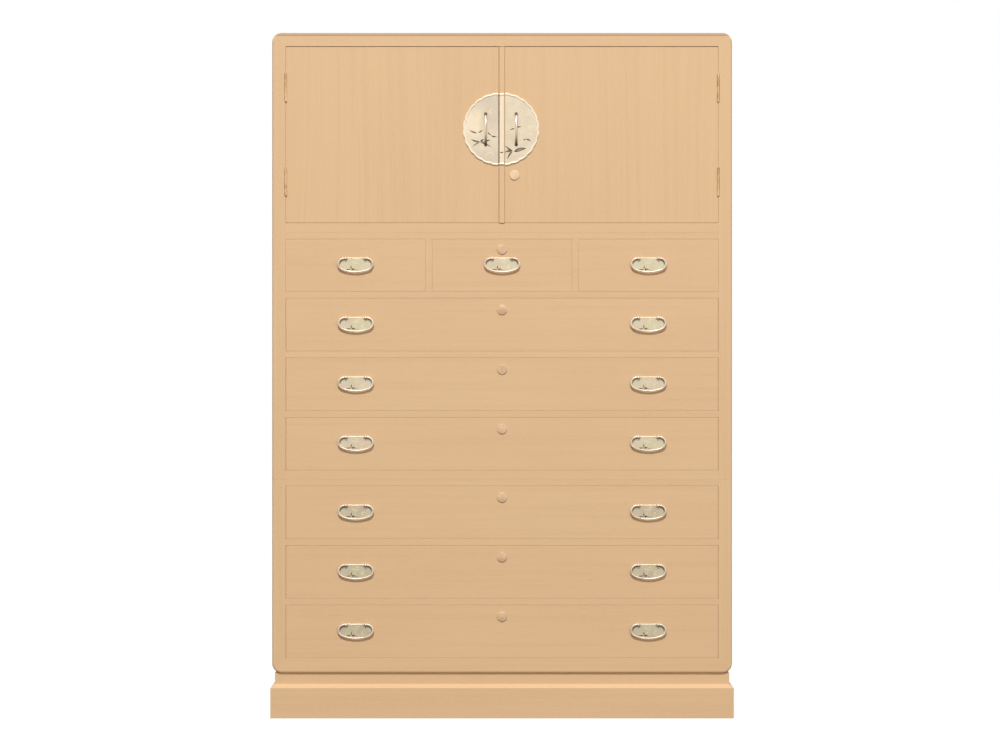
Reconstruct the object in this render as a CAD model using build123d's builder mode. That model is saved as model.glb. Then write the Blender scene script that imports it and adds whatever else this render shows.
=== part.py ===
from build123d import *
from math import asin, cos, degrees, radians, sin, sqrt
import os

# Isho clothing chest. Millimetres, +Z up, the front faces -Y.
# The origin is on the floor, under the middle of the case.

# ---- case ----
case_width = 1120
case_depth = 440
side_board = 33.2
top_board = 33.2
bottom_board = 36.5
corner_round = 23  # the four corners of the case seen from the front
edge_round = 5  # long outer edges of the front
back_round = 2
ease = 0.5  # small rounding of every front edge
seam_ease = 0.4  # chamfer that shows where the two cases meet
shelf = 16
lower_lid = 15
upper_floor = 23
tray_floor = 23
partition = 17
tongue = 8  # reach of a shelf into the side boards
tongue_setback = 22  # from the case front to where a tongue starts
back_panel = 8
back_inset = 2
back_lap = 10

# ---- openings, from the bottom upwards ----
large_opening = 129
small_opening = 128
door_opening = 430.3
large_per_case = 3
small_count = 3

# ---- plinth ----
foot_height = 73.5
foot_slope = 9.5
plinth_height = 110
foot_reach = 4  # the foot outside the case, at the front and sides
neck_inset = 6.5  # the neck inside the case outline
plinth_board = 30
plinth_back = 22
bearer = 24

# ---- drawers ----
drawer_recess = 0.5
side_gap = 0.3
top_gap = 0.35
slide_gap = 0.3
drawer_front = 22
front_lap = 9  # wood left in front of the drawer's side boards
drawer_side = 12
drawer_bottom = 8
side_drop = 2
drawer_rear_gap = 4

# ---- drawer pulls ----
pull_inset_x = 170.8  # from the side of a large drawer's opening to its pull
pull_plate = 1.8
plate_bevel = 0.8
post_spacing = 48
post_head = 3.5
post_collar = 2.5
head_rise = 0.2  # of the round head off the plate
post_shank = 1.5
post_hole = 1.6
axis_height = 17  # of the bail's axis above the middle of the drawer
bail_width = 88.4
bail_wire = 2.4
bow_radius = 91
bail_pin = 1.4
bail_pin_root = 2.4  # of the pin inside the end of the wire
pin_clearance = 0.06
bail_gap = 0.3
plate_tuck = 1.2  # from the middle of the wire in to the plate's edge
plate_shoulder = 50  # degrees up each end arc to the slope that runs in to the posts
plate_tip_reach = 2.5  # of the top corners past the ends of the wire
plate_tip_rise = 2.4
plate_hollow = 1.0
nut_radius = 4
nut_height = 3

# ---- keyhole covers and locks ----
cover_radius = 12
cover_thickness = 2.4
cover_bevel = 0.5
cover_gap = 0.5  # behind the cover
cover_pin = 1.25
cover_pin_rise = 7.5  # of the pin above the middle of the cover
large_cover_drop = 28  # from the top of a large opening to the cover's middle
small_cover_drop = 25
door_cover_x = 30.3
door_cover_drop = 313.3
keyhole_drop = 2
keyhole_radius = 2
keyhole_slot = 5
bush_radius = 5
bush_depth = 4
lock_width = 56
lock_height = 34
lock_depth = 9
lock_rise = 12  # of the lock case above the keyhole

# ---- doors ----
door_face = 9
door_frame = 13
door_stile = 55
door_recess = 1.5
door_gap = 0.4
door_top_gap = 1.2
door_bottom_gap = 0.4
meeting_gap = 0.9
meeting_x = -7.4  # middle of the gap between the two doors
strip_width = 13.8
strip_proud = 4
strip_round = 2.4  # the strip's long edge on the right door

# ---- hinges of the doors ----
hinge_height = 67
hinge_inset = 100.5  # from the end of the door opening to the middle of a hinge
barrel_radius = 2.6
hinge_pin = 1.3
hinge_proud = 1.0  # the pin's axis in front of the case
leaf = 1.5
leaf_depth = 18
leaf_start = 4.3
knuckle_gap = 0.3
leaf_fit = 0.05  # of a leaf in its recess
barrel_recess = 3.6
pin_head = 2.1
pin_head_height = 1

# ---- round plate and bow pulls of the doors ----
plate_drop = 201.8  # from the top of the door opening to the plate's middle
plate_x = -2.6  # middle of the round plate
plate_lobe = 88.2
plate_cusp = 86.4
plate_spread = 4.5  # from the plate's middle to the middle of either half's arc
plate_setback = 0.6  # from the meeting gap to the plates' straight edges
lobes = 24
round_plate = 1.6
rim_width = 3.6
rim_height = 0.8
pull_spread = 37.2  # from the plate's middle to a pull
pull_length = 82.5
pull_width = 7
pull_rise = 19
pull_bar = 5
pull_foot = 8
pull_foot_height = 3
pull_round = 1.5
screw_radius = 2
screw_head = 4
screw_head_height = 2
screw_reach = 5  # into the pull's foot
strike_width = 12
strike_height = 44
strike_thickness = 1.2

# ---- kimono trays ----
trays = 4
tray_side = 10
tray_front = 12
tray_base = 6
tray_front_height = 46
tray_end_gap = 1.5
tray_door_gap = 5
tray_depth = 392
tray_headroom = 9
tray_seat = 0.3
runner_width = 14
runner_height = 10

# ---- worked out from the above ----
front_y = -case_depth / 2
back_y = case_depth / 2
panel_back = back_y - back_inset
panel_front = panel_back - back_panel
inner_x = case_width / 2 - side_board
inner_width = 2 * inner_x

lower_floor_z = plinth_height + bottom_board
pitch = large_opening + shelf
lower_openings = [lower_floor_z + pitch * i for i in range(large_per_case)]
lower_lid_z = lower_openings[-1] + large_opening
seam_z = lower_lid_z + lower_lid
upper_floor_z = seam_z + upper_floor
upper_openings = [upper_floor_z + pitch * i for i in range(large_per_case)]
small_z = upper_openings[-1] + pitch
small_top = small_z + small_opening
tray_floor_z = small_top + shelf
door_z = tray_floor_z + tray_floor
door_top = door_z + door_opening
case_top = door_top + top_board

small_width = (inner_width - (small_count - 1) * partition) / small_count
small_step = small_width + partition
small_first = -small_step * (small_count - 1) / 2

drawer_face = front_y + drawer_recess
door_front = front_y + door_recess
door_back = door_front + door_face + door_frame
left_meeting = meeting_x - meeting_gap / 2
right_meeting = meeting_x + meeting_gap / 2
strip_front = door_front - strip_proud
hinge_x = inner_x - door_gap / 2
hinge_y = front_y - hinge_proud
hinge_levels = [door_z + hinge_inset, door_top - hinge_inset]
plate_z = door_top - plate_drop
left_pull_x = plate_x - pull_spread
right_pull_x = plate_x + pull_spread
door_cover_z = door_top - door_cover_drop


def facing(x, y, z):
    """A plane whose own X and Y run along the chest's X and Z, and that looks forwards."""
    return Plane(origin=(x, y, z), x_dir=(1, 0, 0), z_dir=(0, -1, 0))


def board(x0, x1, y0, y1, z0, z1, eased=0):
    """A square-edged board, its front edges eased if asked."""
    with BuildPart() as piece:
        with Locations(((x0 + x1) / 2, (y0 + y1) / 2, (z0 + z1) / 2)):
            Box(abs(x1 - x0), abs(y1 - y0), abs(z1 - z0))
        if eased:
            fillet(piece.edges().group_by(Axis.Y)[0], eased)
    return piece.part


def keep_node(name, pieces):
    """Writes a node, whose pieces stay separate solids."""
    node = Compound(label=name, children=list(pieces))
    export_step(node, f"parts/{name}.step")


# ---- plinth ----
def moulding_board(corner, inward, along, length):
    """A length of the plinth's moulding: foot, sloping step and neck."""
    step = foot_reach + neck_inset
    slope_z = foot_height + foot_slope
    with BuildPart() as piece:
        with BuildSketch(Plane(origin=corner, x_dir=inward, z_dir=along)):
            with BuildLine():
                Polyline(
                    (0, 0),
                    (0, foot_height),
                    (step, slope_z),
                    (step, plinth_height),
                    (plinth_board, plinth_height),
                    (plinth_board, 0),
                    close=True,
                )
            make_face()
        extrude(amount=length)
    return piece.part


def plinth_pieces():
    """Front and sides mitred together, a back board and a bearer under the middle."""
    foot_x = case_width / 2 + foot_reach
    foot_front = front_y - foot_reach
    depth = back_y - foot_front
    left_corner = (-foot_x, foot_front, 0)
    right_corner = (foot_x, foot_front, 0)
    right_mitre = Plane(origin=right_corner, x_dir=(0, 0, 1), z_dir=(1, 1, 0))
    left_mitre = Plane(origin=left_corner, x_dir=(0, 0, 1), z_dir=(-1, 1, 0))
    with BuildPart() as front:
        add(moulding_board(left_corner, (0, 1, 0), (1, 0, 0), 2 * foot_x))
        split(bisect_by=right_mitre, keep=Keep.BOTTOM)
        split(bisect_by=left_mitre, keep=Keep.BOTTOM)
    with BuildPart() as right:
        add(moulding_board(right_corner, (-1, 0, 0), (0, 1, 0), depth))
        split(bisect_by=right_mitre, keep=Keep.TOP)
    with BuildPart() as left:
        add(moulding_board((-foot_x, back_y, 0), (1, 0, 0), (0, -1, 0), depth))
        split(bisect_by=left_mitre, keep=Keep.TOP)
    inner_back = back_y - plinth_back
    inner_front = foot_front + plinth_board
    inner_side = foot_x - plinth_board
    back = board(-inner_side, inner_side, inner_back, back_y, 0, plinth_height)
    middle = board(-bearer / 2, bearer / 2, inner_front, inner_back, 0, plinth_height)
    return [front.part, left.part, right.part, back, middle]


# ---- case boards ----
def case_shell(closed_z, open_z, closed_board, shelves, closed_up):
    """One bent-looking shell: two sides and the board that joins them over mitres."""
    turn = 1 if closed_up else -1
    inner_z = closed_z - turn * closed_board
    middle_z = (closed_z + open_z) / 2
    height = abs(closed_z - open_z)
    with BuildPart() as shell:
        with BuildSketch(facing(0, front_y, 0)) as outline:
            with Locations((0, middle_z)):
                Rectangle(case_width, height)
            far_end = -1 if closed_up else 0
            fillet(outline.vertices().group_by(Axis.Y)[far_end], corner_round)
            with Locations((0, (inner_z + open_z) / 2)):
                Rectangle(inner_width, abs(inner_z - open_z), mode=Mode.SUBTRACT)
        extrude(amount=-case_depth)

        def outer(edges):
            return edges.filter_by(
                lambda e: abs(e.center().Z - open_z) > ease
                and (abs(e.center().X) > inner_x + ease or abs(e.center().Z - closed_z) < ease)
            )

        front_edges = shell.edges().group_by(Axis.Y)[0]
        mouth = front_edges.filter_by(
            lambda e: abs(e.center().X) < inner_x + ease and abs(e.center().Z - closed_z) > ease
        )
        fillet(outer(front_edges), edge_round)
        fillet(mouth.filter_by(lambda e: e.center().Z != open_z), ease)
        fillet(outer(shell.edges().group_by(Axis.Y)[-1]), back_round)
        panel_end = inner_z + turn * back_lap
        with Locations((0, (panel_front + back_y) / 2, (panel_end + open_z) / 2)):
            Box(
                inner_width + 2 * back_lap,
                back_y - panel_front,
                abs(panel_end - open_z),
                mode=Mode.SUBTRACT,
            )
        tongue_y = front_y + tongue_setback
        for z, thickness in shelves:
            with Locations((0, (tongue_y + panel_front) / 2, z + thickness / 2)):
                Box(
                    inner_width + 2 * tongue,
                    panel_front - tongue_y,
                    thickness,
                    mode=Mode.SUBTRACT,
                )
    return shell.part


def case_pieces(shell, inner_z, open_z, closed_up):
    """Cuts a shell along its mitres into left side, right side and closing board."""
    turn = 1 if closed_up else -1
    half = case_width / 2
    pieces = []
    mitres = []
    for side in (-1, 1):
        corner = (side * inner_x, 0, inner_z)
        mitre = Plane(origin=corner, x_dir=(0, 1, 0), z_dir=(side, 0, -turn))
        mitres.append(mitre)
        with BuildPart() as upright:
            add(shell)
            split(bisect_by=Plane.YZ, keep=Keep.TOP if side > 0 else Keep.BOTTOM)
            split(bisect_by=mitre, keep=Keep.TOP)
            end = upright.faces().filter_by(Axis.Z)
            end = end.filter_by(lambda f: abs(f.center().Z - open_z) < 0.01)
            rim = end.edges().filter_by(
                lambda e: abs(e.center().X) > half - edge_round
                or e.center().Y < front_y + edge_round
            )
            chamfer(rim, seam_ease)
        pieces.append(upright.part)
    with BuildPart() as closing:
        add(shell)
        for mitre in mitres:
            split(bisect_by=mitre, keep=Keep.BOTTOM)
    pieces.append(closing.part)
    return pieces


def shelf_board(z, thickness):
    """A full-depth board, tongued into the sides behind its plain front edge."""
    tongue_y = front_y + tongue_setback
    with BuildPart() as piece:
        with Locations((0, (front_y + panel_front) / 2, z + thickness / 2)):
            Box(inner_width, panel_front - front_y, thickness)
        fillet(piece.edges().group_by(Axis.Y)[0].filter_by(Axis.X), ease)
        with Locations((0, (tongue_y + panel_front) / 2, z + thickness / 2)):
            Box(inner_width + 2 * tongue, panel_front - tongue_y, thickness)
    return piece.part


def back_board(z0, z1):
    reach = inner_x + back_lap
    return board(-reach, reach, panel_front, panel_back, z0, z1)


def hinge_recesses(part, side, levels):
    """Lets the hinges' barrels and leaves into whatever stands beside them."""
    with BuildPart() as recessed:
        add(part)
        for z in levels:
            with Locations((side * hinge_x, hinge_y, z)):
                room = hinge_height + 2 * (pin_head_height + knuckle_gap)
                Cylinder(barrel_recess, room, mode=Mode.SUBTRACT)
            leaf_reach = leaf_start + leaf_depth + leaf_fit
            leaf_room = door_gap + 2 * (leaf + leaf_fit)
            leaf_height = hinge_height + 2 * leaf_fit
            with Locations((side * hinge_x, hinge_y + leaf_reach / 2, z)):
                Box(leaf_room, leaf_reach, leaf_height, mode=Mode.SUBTRACT)
    return recessed.part


# ---- hinges ----
def hinge_half(side, z, on_door):
    """Leaf and knuckles of one half: two end knuckles on the case, one middle on the door."""
    knuckle = hinge_height / 3
    inward = -side if on_door else side
    leaf_x = side * hinge_x + inward * (door_gap + leaf) / 2
    offsets = [0] if on_door else [-knuckle, knuckle]
    with BuildPart() as half:
        with Locations((leaf_x, hinge_y + leaf_start + leaf_depth / 2, z)):
            Box(leaf, leaf_depth, hinge_height)
        for offset in offsets:
            with Locations((side * hinge_x, hinge_y, z + offset)):
                Cylinder(barrel_radius, knuckle - knuckle_gap)
            with Locations((leaf_x, hinge_y + leaf_start / 2, z + offset)):
                Box(leaf, leaf_start, knuckle - knuckle_gap)
        for offset in offsets:
            with Locations((side * hinge_x, hinge_y, z + offset)):
                Cylinder(hinge_pin + pin_clearance, knuckle, mode=Mode.SUBTRACT)
    return half.part


def hinge_pin_piece(side, z):
    knuckle = hinge_height / 3
    reach = 1.5 * knuckle - knuckle_gap / 2
    with BuildPart() as pin:
        with Locations((side * hinge_x, hinge_y, z)):
            Cylinder(hinge_pin, 2 * reach)
        for end in (-1, 1):
            with Locations((side * hinge_x, hinge_y, z + end * (reach + pin_head_height / 2))):
                Cylinder(pin_head, pin_head_height)
    return pin.part


# ---- pulls of the drawers ----
def bail_shape():
    """Radius and centres of the wire's three arcs, from the bail's axis."""
    corner_x = post_spacing / 2 + post_head + bail_gap
    corner = bail_width / 2 - bail_wire - corner_x
    lean = asin(corner_x / (bow_radius - corner))
    bow_z = -corner + (bow_radius - corner) * cos(lean)
    return corner_x, corner, degrees(lean), bow_z


def pull_standoff():
    return pull_plate + head_rise + post_head


def bail_piece(x, y, z):
    corner_x, corner, lean, bow_z = bail_shape()
    turn = 180 - lean
    with BuildPart() as bail:
        with BuildLine(facing(x, y - pull_standoff(), z)) as route:
            CenterArc((corner_x, -corner), corner, 90, -turn)
            CenterArc((0, bow_z), bow_radius, -90 + lean, -2 * lean)
            CenterArc((-corner_x, -corner), corner, -90 - lean, -turn)
        start = Plane(origin=(x + corner_x, y - pull_standoff(), z), z_dir=(1, 0, 0))
        with BuildSketch(start):
            Circle(bail_wire)
        sweep(path=route.wires()[0])
        for end in (-1, 1):
            reach = corner_x - post_spacing / 2 + bail_pin_root
            pin_x = x + end * (corner_x - reach / 2)
            with Locations(Location((pin_x, y - pull_standoff(), z), (0, 90, 0))):
                Cylinder(bail_pin, reach)
    return bail.part


def half_moon_plate(x, y, z):
    """Plate that fills the bail, with a hollow top edge."""
    corner_x, corner, lean, bow_z = bail_shape()
    radius = corner - plate_tuck
    shoulder_x = corner_x + radius * cos(radians(plate_shoulder))
    shoulder_z = -corner + radius * sin(radians(plate_shoulder))
    tip_x = corner_x + plate_tip_reach
    tip = (tip_x, plate_tip_rise)
    other_tip = (-tip_x, plate_tip_rise)
    end_turn = -plate_shoulder - 90 + lean
    with BuildPart() as plate:
        with BuildSketch(facing(x, y, z)):
            with BuildLine():
                CenterArc((corner_x, -corner), radius, plate_shoulder, end_turn)
                CenterArc((0, bow_z), bow_radius - plate_tuck, -90 + lean, -2 * lean)
                CenterArc((-corner_x, -corner), radius, -90 - lean, end_turn)
                Line((-shoulder_x, shoulder_z), other_tip)
                ThreePointArc(other_tip, (0, plate_tip_rise - plate_hollow), tip)
                Line(tip, (shoulder_x, shoulder_z))
            make_face()
        extrude(amount=pull_plate)
        chamfer(plate.faces().sort_by(Axis.Y)[0].edges(), plate_bevel)
        with BuildSketch(facing(x, y, z)):
            with Locations((-post_spacing / 2, 0), (post_spacing / 2, 0)):
                Circle(post_hole)
        extrude(amount=pull_plate, mode=Mode.SUBTRACT)
    return plate.part


def post_piece(x, y, z):
    """Round-headed post, bored for the bail's pin, its shank through the drawer's front."""
    standoff = pull_standoff()
    shank_end = -(drawer_front + nut_height)
    head_start = standoff - sqrt(post_head**2 - post_collar**2)
    profile_plane = Plane(origin=(x, y, z), x_dir=(0, -1, 0), z_dir=(1, 0, 0))
    with BuildPart() as post:
        # local X runs forwards along the post, local Y is its radius
        with BuildSketch(profile_plane):
            with BuildLine():
                Polyline(
                    (standoff + post_head, 0),
                    (shank_end, 0),
                    (shank_end, post_shank),
                    (pull_plate, post_shank),
                    (pull_plate, post_collar),
                    (head_start, post_collar),
                )
                ThreePointArc(
                    (head_start, post_collar), (standoff, post_head), (standoff + post_head, 0)
                )
            make_face()
        revolve(axis=Axis((x, y, z), (0, -1, 0)))
        with Locations(Location((x, y - standoff, z), (0, 90, 0))):
            Cylinder(bail_pin + pin_clearance, 3 * post_head, mode=Mode.SUBTRACT)
    return post.part


def nut_piece(x, y, z):
    with BuildPart() as nut:
        with BuildSketch(facing(x, y + drawer_front, z)):
            Circle(nut_radius)
            Circle(post_shank, mode=Mode.SUBTRACT)
        extrude(amount=-nut_height)
    return nut.part


def pull_pieces(x, y, z):
    """Plate, posts and nuts of one pull. z is the height of the bail's axis."""
    pieces = [half_moon_plate(x, y, z)]
    for side in (-1, 1):
        post_x = x + side * post_spacing / 2
        pieces.append(post_piece(post_x, y, z))
        pieces.append(nut_piece(post_x, y, z))
    return pieces


# ---- keyhole covers and locks ----
def cover_piece(x, y, z):
    """Round cover that hangs from a pin near its top."""
    with BuildPart() as cover:
        with BuildSketch(facing(x, y - cover_gap, z)):
            Circle(cover_radius)
        extrude(amount=cover_thickness)
        chamfer(cover.faces().sort_by(Axis.Y)[0].edges(), cover_bevel)
        with BuildSketch(facing(x, y - cover_gap, z + cover_pin_rise)):
            Circle(cover_pin + pin_clearance)
        extrude(amount=cover_thickness, mode=Mode.SUBTRACT)
    return cover.part


def lock_pieces(x, y, z, thickness):
    """Lock case let into the back, keyhole bush, and the cover's pin. z is the cover's middle."""
    key_z = z - keyhole_drop
    lock_z = key_z + lock_rise - lock_height / 2
    back = y + thickness
    case = board(
        x - lock_width / 2,
        x + lock_width / 2,
        back - lock_depth,
        back,
        lock_z - lock_height / 2,
        lock_z + lock_height / 2,
    )
    with BuildPart() as bush:
        with BuildSketch(facing(x, y, key_z)):
            Circle(bush_radius)
            Circle(keyhole_radius, mode=Mode.SUBTRACT)
            with Locations((0, -keyhole_radius)):
                Rectangle(keyhole_radius, keyhole_slot - keyhole_radius, mode=Mode.SUBTRACT)
        extrude(amount=-bush_depth)
    with BuildPart() as pin:
        with BuildSketch(facing(x, y - cover_gap - cover_thickness, z + cover_pin_rise)):
            Circle(cover_pin)
        extrude(amount=-(cover_gap + cover_thickness + bush_depth))
    return [case, bush.part, pin.part]


def cut_for_lock(part, x, y, z, thickness):
    key_z = z - keyhole_drop
    lock_z = key_z + lock_rise - lock_height / 2
    with BuildPart() as cut:
        add(part)
        with Locations((x, y + thickness - lock_depth / 2, lock_z)):
            Box(lock_width, lock_depth, lock_height, mode=Mode.SUBTRACT)
        with BuildSketch(facing(x, y, key_z)):
            Circle(keyhole_radius)
            with Locations((0, -keyhole_radius)):
                Rectangle(keyhole_radius, keyhole_slot - keyhole_radius)
        extrude(amount=-thickness, mode=Mode.SUBTRACT)
        with BuildSketch(facing(x, y, key_z)):
            Circle(bush_radius)
        extrude(amount=-bush_depth, mode=Mode.SUBTRACT)
        with BuildSketch(facing(x, y, z + cover_pin_rise)):
            Circle(cover_pin)
        extrude(amount=-bush_depth, mode=Mode.SUBTRACT)
    return cut.part


# ---- drawers ----
def drawer_pieces(x, floor_z, width, height, pull_xs, cover_z):
    """Front, two sides, back and bottom of one drawer."""
    reach = width / 2 - side_gap
    inner_reach = reach - drawer_side
    base = floor_z + slide_gap
    top = floor_z + height - top_gap
    floor_top = base + drawer_bottom
    side_top = top - side_drop
    lap_y = drawer_face + front_lap
    front_back = drawer_face + drawer_front
    rear = panel_front - drawer_rear_gap
    inner_rear = rear - drawer_side
    axis_z = floor_z + height / 2 + axis_height
    with BuildPart() as front:
        add(board(x - reach, x + reach, drawer_face, front_back, base, top, ease))
        for side in (-1, 1):
            edge = x + side * reach
            inner = x + side * inner_reach
            add(board(edge, inner, lap_y, front_back, base, top), mode=Mode.SUBTRACT)
        floor_lap = board(x - reach, x + reach, lap_y, front_back, base, floor_top)
        add(floor_lap, mode=Mode.SUBTRACT)
        for pull_x in pull_xs:
            with BuildSketch(facing(pull_x, drawer_face, axis_z)):
                with Locations((-post_spacing / 2, 0), (post_spacing / 2, 0)):
                    Circle(post_hole)
            extrude(amount=-drawer_front, mode=Mode.SUBTRACT)
    front_piece = front.part
    if cover_z is not None:
        front_piece = cut_for_lock(front_piece, x, drawer_face, cover_z, drawer_front)
    pieces = [front_piece]
    finger = (side_top - floor_top) / 3
    finger_z = floor_top + finger
    for side in (-1, 1):
        edge = x + side * reach
        inner = x + side * inner_reach
        with BuildPart() as side_piece:
            add(board(edge, inner, lap_y, rear, floor_top, side_top))
            notch = board(edge, inner, inner_rear, rear, finger_z, finger_z + finger)
            add(notch, mode=Mode.SUBTRACT)
        pieces.append(side_piece.part)
    with BuildPart() as back:
        add(board(x - inner_reach, x + inner_reach, inner_rear, rear, floor_top, side_top))
        add(board(x - reach, x + reach, inner_rear, rear, finger_z, finger_z + finger))
    pieces.append(back.part)
    pieces.append(board(x - reach, x + reach, lap_y, rear, base, floor_top))
    return pieces


def write_drawer(name, x, floor_z, width, height, pull_xs, cover_drop):
    """One drawer as its box, its fittings, its bails and its keyhole cover."""
    axis_z = floor_z + height / 2 + axis_height
    cover_z = None if cover_drop is None else floor_z + height - cover_drop
    keep_node(name, drawer_pieces(x, floor_z, width, height, pull_xs, cover_z))
    fittings = []
    for pull_x in pull_xs:
        fittings += pull_pieces(pull_x, drawer_face, axis_z)
    if cover_z is not None:
        fittings += lock_pieces(x, drawer_face, cover_z, drawer_front)
        keep_node(f"{name}_key_cover", [cover_piece(x, drawer_face, cover_z)])
    keep_node(f"{name}_fittings", fittings)
    sides = ["_left", "_right"] if len(pull_xs) > 1 else [""]
    for side, pull_x in zip(sides, pull_xs):
        keep_node(f"{name}{side}_bail", [bail_piece(pull_x, drawer_face, axis_z)])


# ---- doors ----
def door_pieces(x0, x1, side):
    """Face board on a frame of two stiles and three rails."""
    z0 = door_z + door_bottom_gap
    z1 = door_top - door_top_gap
    frame_y = door_front + door_face
    rail_z = (z0 + z1) / 2
    face = board(x0, x1, door_front, frame_y, z0, z1, ease)
    parts = [
        face,
        board(x0, x0 + door_stile, frame_y, door_back, z0, z1),
        board(x1 - door_stile, x1, frame_y, door_back, z0, z1),
        board(x0 + door_stile, x1 - door_stile, frame_y, door_back, z0, z0 + door_stile),
        board(x0 + door_stile, x1 - door_stile, frame_y, door_back, z1 - door_stile, z1),
        board(
            x0 + door_stile,
            x1 - door_stile,
            frame_y,
            door_back,
            rail_z - door_stile / 2,
            rail_z + door_stile / 2,
        ),
    ]
    hinge_stile = 2 if side > 0 else 1
    for index in (0, hinge_stile):
        parts[index] = hinge_recesses(parts[index], side, hinge_levels)
    return parts


def bore_for_screws(part, x, depth_y):
    """Holes for the two screws of a bow pull."""
    with BuildPart() as bored:
        add(part)
        for end in (-1, 1):
            z = plate_z + end * (pull_length - pull_foot) / 2
            with BuildSketch(facing(x, door_front - round_plate, z)):
                Circle(screw_radius)
            extrude(amount=-depth_y, mode=Mode.SUBTRACT)
    return bored.part


def scalloped_edge(lobe, cusp):
    """Edge of the round plate: equal lobes between cusps, on two half circles drawn apart."""
    step = 360 / lobes
    for k in range(lobes):
        middle = plate_spread if k < lobes / 2 else -plate_spread
        marks = []
        for share, radius in ((0, cusp), (0.5, lobe), (1, cusp)):
            angle = radians(90 - (k + share) * step)
            marks.append((middle + radius * cos(angle), radius * sin(angle)))
        ThreePointArc(*marks)
    for z in (-cusp, cusp):
        Line((-plate_spread, z), (plate_spread, z))


def plate_part(face_y, x0, x1):
    """What lies between x0 and x1 of the round plate, with a raised rim along its edge."""
    with BuildPart() as plate:
        with BuildSketch(facing(plate_x, face_y, plate_z)):
            with BuildLine():
                scalloped_edge(plate_lobe, plate_cusp)
            make_face()
        extrude(amount=round_plate)
        with BuildSketch(facing(plate_x, face_y - round_plate, plate_z)):
            with BuildLine():
                scalloped_edge(plate_lobe, plate_cusp)
            make_face()
            with BuildLine():
                scalloped_edge(plate_lobe - rim_width, plate_cusp - rim_width)
            make_face(mode=Mode.SUBTRACT)
        extrude(amount=rim_height)
        with Locations(((x0 + x1) / 2, face_y, plate_z)):
            Box(x1 - x0, 2 * plate_lobe, 2 * plate_lobe, mode=Mode.INTERSECT)
    return plate.part


def bow_pull(x):
    """Arched bar on two feet, standing on the round plate."""
    base = door_front - round_plate
    half = pull_length / 2
    side_view = Plane(origin=(x, base, plate_z), x_dir=(0, 0, 1), z_dir=(1, 0, 0))
    inner_half = half - pull_foot
    foot_y = pull_foot_height
    with BuildPart() as pull:
        # this plane's own Y runs forwards, out of the door
        with BuildSketch(side_view):
            with BuildLine():
                ThreePointArc((-half, foot_y), (0, pull_rise), (half, foot_y))
                Line((half, foot_y), (half, 0))
                Line((half, 0), (inner_half, 0))
                Line((inner_half, 0), (inner_half, foot_y))
                ThreePointArc(
                    (inner_half, foot_y), (0, pull_rise - pull_bar), (-inner_half, foot_y)
                )
                Line((-inner_half, foot_y), (-inner_half, 0))
                Line((-inner_half, 0), (-half, 0))
                Line((-half, 0), (-half, foot_y))
            make_face()
        extrude(amount=pull_width / 2, both=True)
        crown = pull.edges().filter_by(GeomType.CIRCLE)
        fillet(crown.sort_by(Axis.Y)[:2], pull_round)
        for end in (-1, 1):
            z = plate_z + end * (pull_length - pull_foot) / 2
            with BuildSketch(facing(x, base, z)):
                Circle(screw_radius)
            extrude(amount=screw_reach, mode=Mode.SUBTRACT)
    return pull.part


def pull_screw(x, z):
    base = door_front - round_plate
    with BuildPart() as screw:
        with BuildSketch(facing(x, base - screw_reach, z)):
            Circle(screw_radius)
        extrude(amount=-(screw_reach + round_plate + door_face + door_frame))
        with BuildSketch(facing(x, door_back, z)):
            Circle(screw_head)
        extrude(amount=-screw_head_height)
    return screw.part


# ---- kimono trays ----
def tray_pieces(floor_z, height):
    x1 = inner_x - tray_end_gap
    y0 = door_back + tray_door_gap
    y1 = y0 + tray_depth
    z0 = floor_z + tray_seat
    z1 = z0 + height
    base_top = z0 + tray_base
    return [
        board(-x1, x1, y0, y1, z0, base_top),
        board(-x1, -x1 + tray_side, y0 + tray_front, y1, base_top, z1),
        board(x1 - tray_side, x1, y0 + tray_front, y1, base_top, z1),
        board(-x1, x1, y0, y0 + tray_front, base_top, z0 + tray_front_height, ease),
        board(-x1 + tray_side, x1 - tray_side, y1 - tray_side, y1, base_top, z1),
    ]


os.makedirs("parts", exist_ok=True)

# plinth
keep_node("plinth", plinth_pieces())

# lower case
lower_shelves = [(z + large_opening, shelf) for z in lower_openings[:-1]]
lower_boards = lower_shelves + [(lower_lid_z, lower_lid)]
lower_shell = case_shell(plinth_height, seam_z, bottom_board, lower_boards, False)
lower_left, lower_right, lower_bottom = case_pieces(lower_shell, lower_floor_z, seam_z, False)
keep_node("lower_case_sides", [lower_left, lower_right])
keep_node("lower_case_top_and_bottom", [lower_bottom, shelf_board(lower_lid_z, lower_lid)])
keep_node("lower_case_shelves", [shelf_board(z, t) for z, t in lower_shelves])

# upper case
upper_shelves = [(z + large_opening, shelf) for z in upper_openings]
upper_shelves += [(small_top, shelf), (tray_floor_z, tray_floor)]
upper_boards = [(seam_z, upper_floor)] + upper_shelves
upper_shell = case_shell(case_top, seam_z, top_board, upper_boards, True)
upper_left, upper_right, upper_top = case_pieces(upper_shell, door_top, seam_z, True)
upper_left = hinge_recesses(upper_left, -1, hinge_levels)
upper_right = hinge_recesses(upper_right, 1, hinge_levels)
keep_node("upper_case_sides", [upper_left, upper_right])
keep_node("upper_case_top_and_floor", [upper_top, shelf_board(seam_z, upper_floor)])
partitions = []
for k in range(small_count - 1):
    middle = small_first + small_step * (k + 0.5)
    x0 = middle - partition / 2
    x1 = middle + partition / 2
    partitions.append(board(x0, x1, front_y, panel_front, small_z, small_top, ease))
keep_node(
    "back_panels",
    [
        back_board(lower_floor_z - back_lap, seam_z),
        back_board(seam_z, door_top + back_lap),
    ],
)

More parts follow.
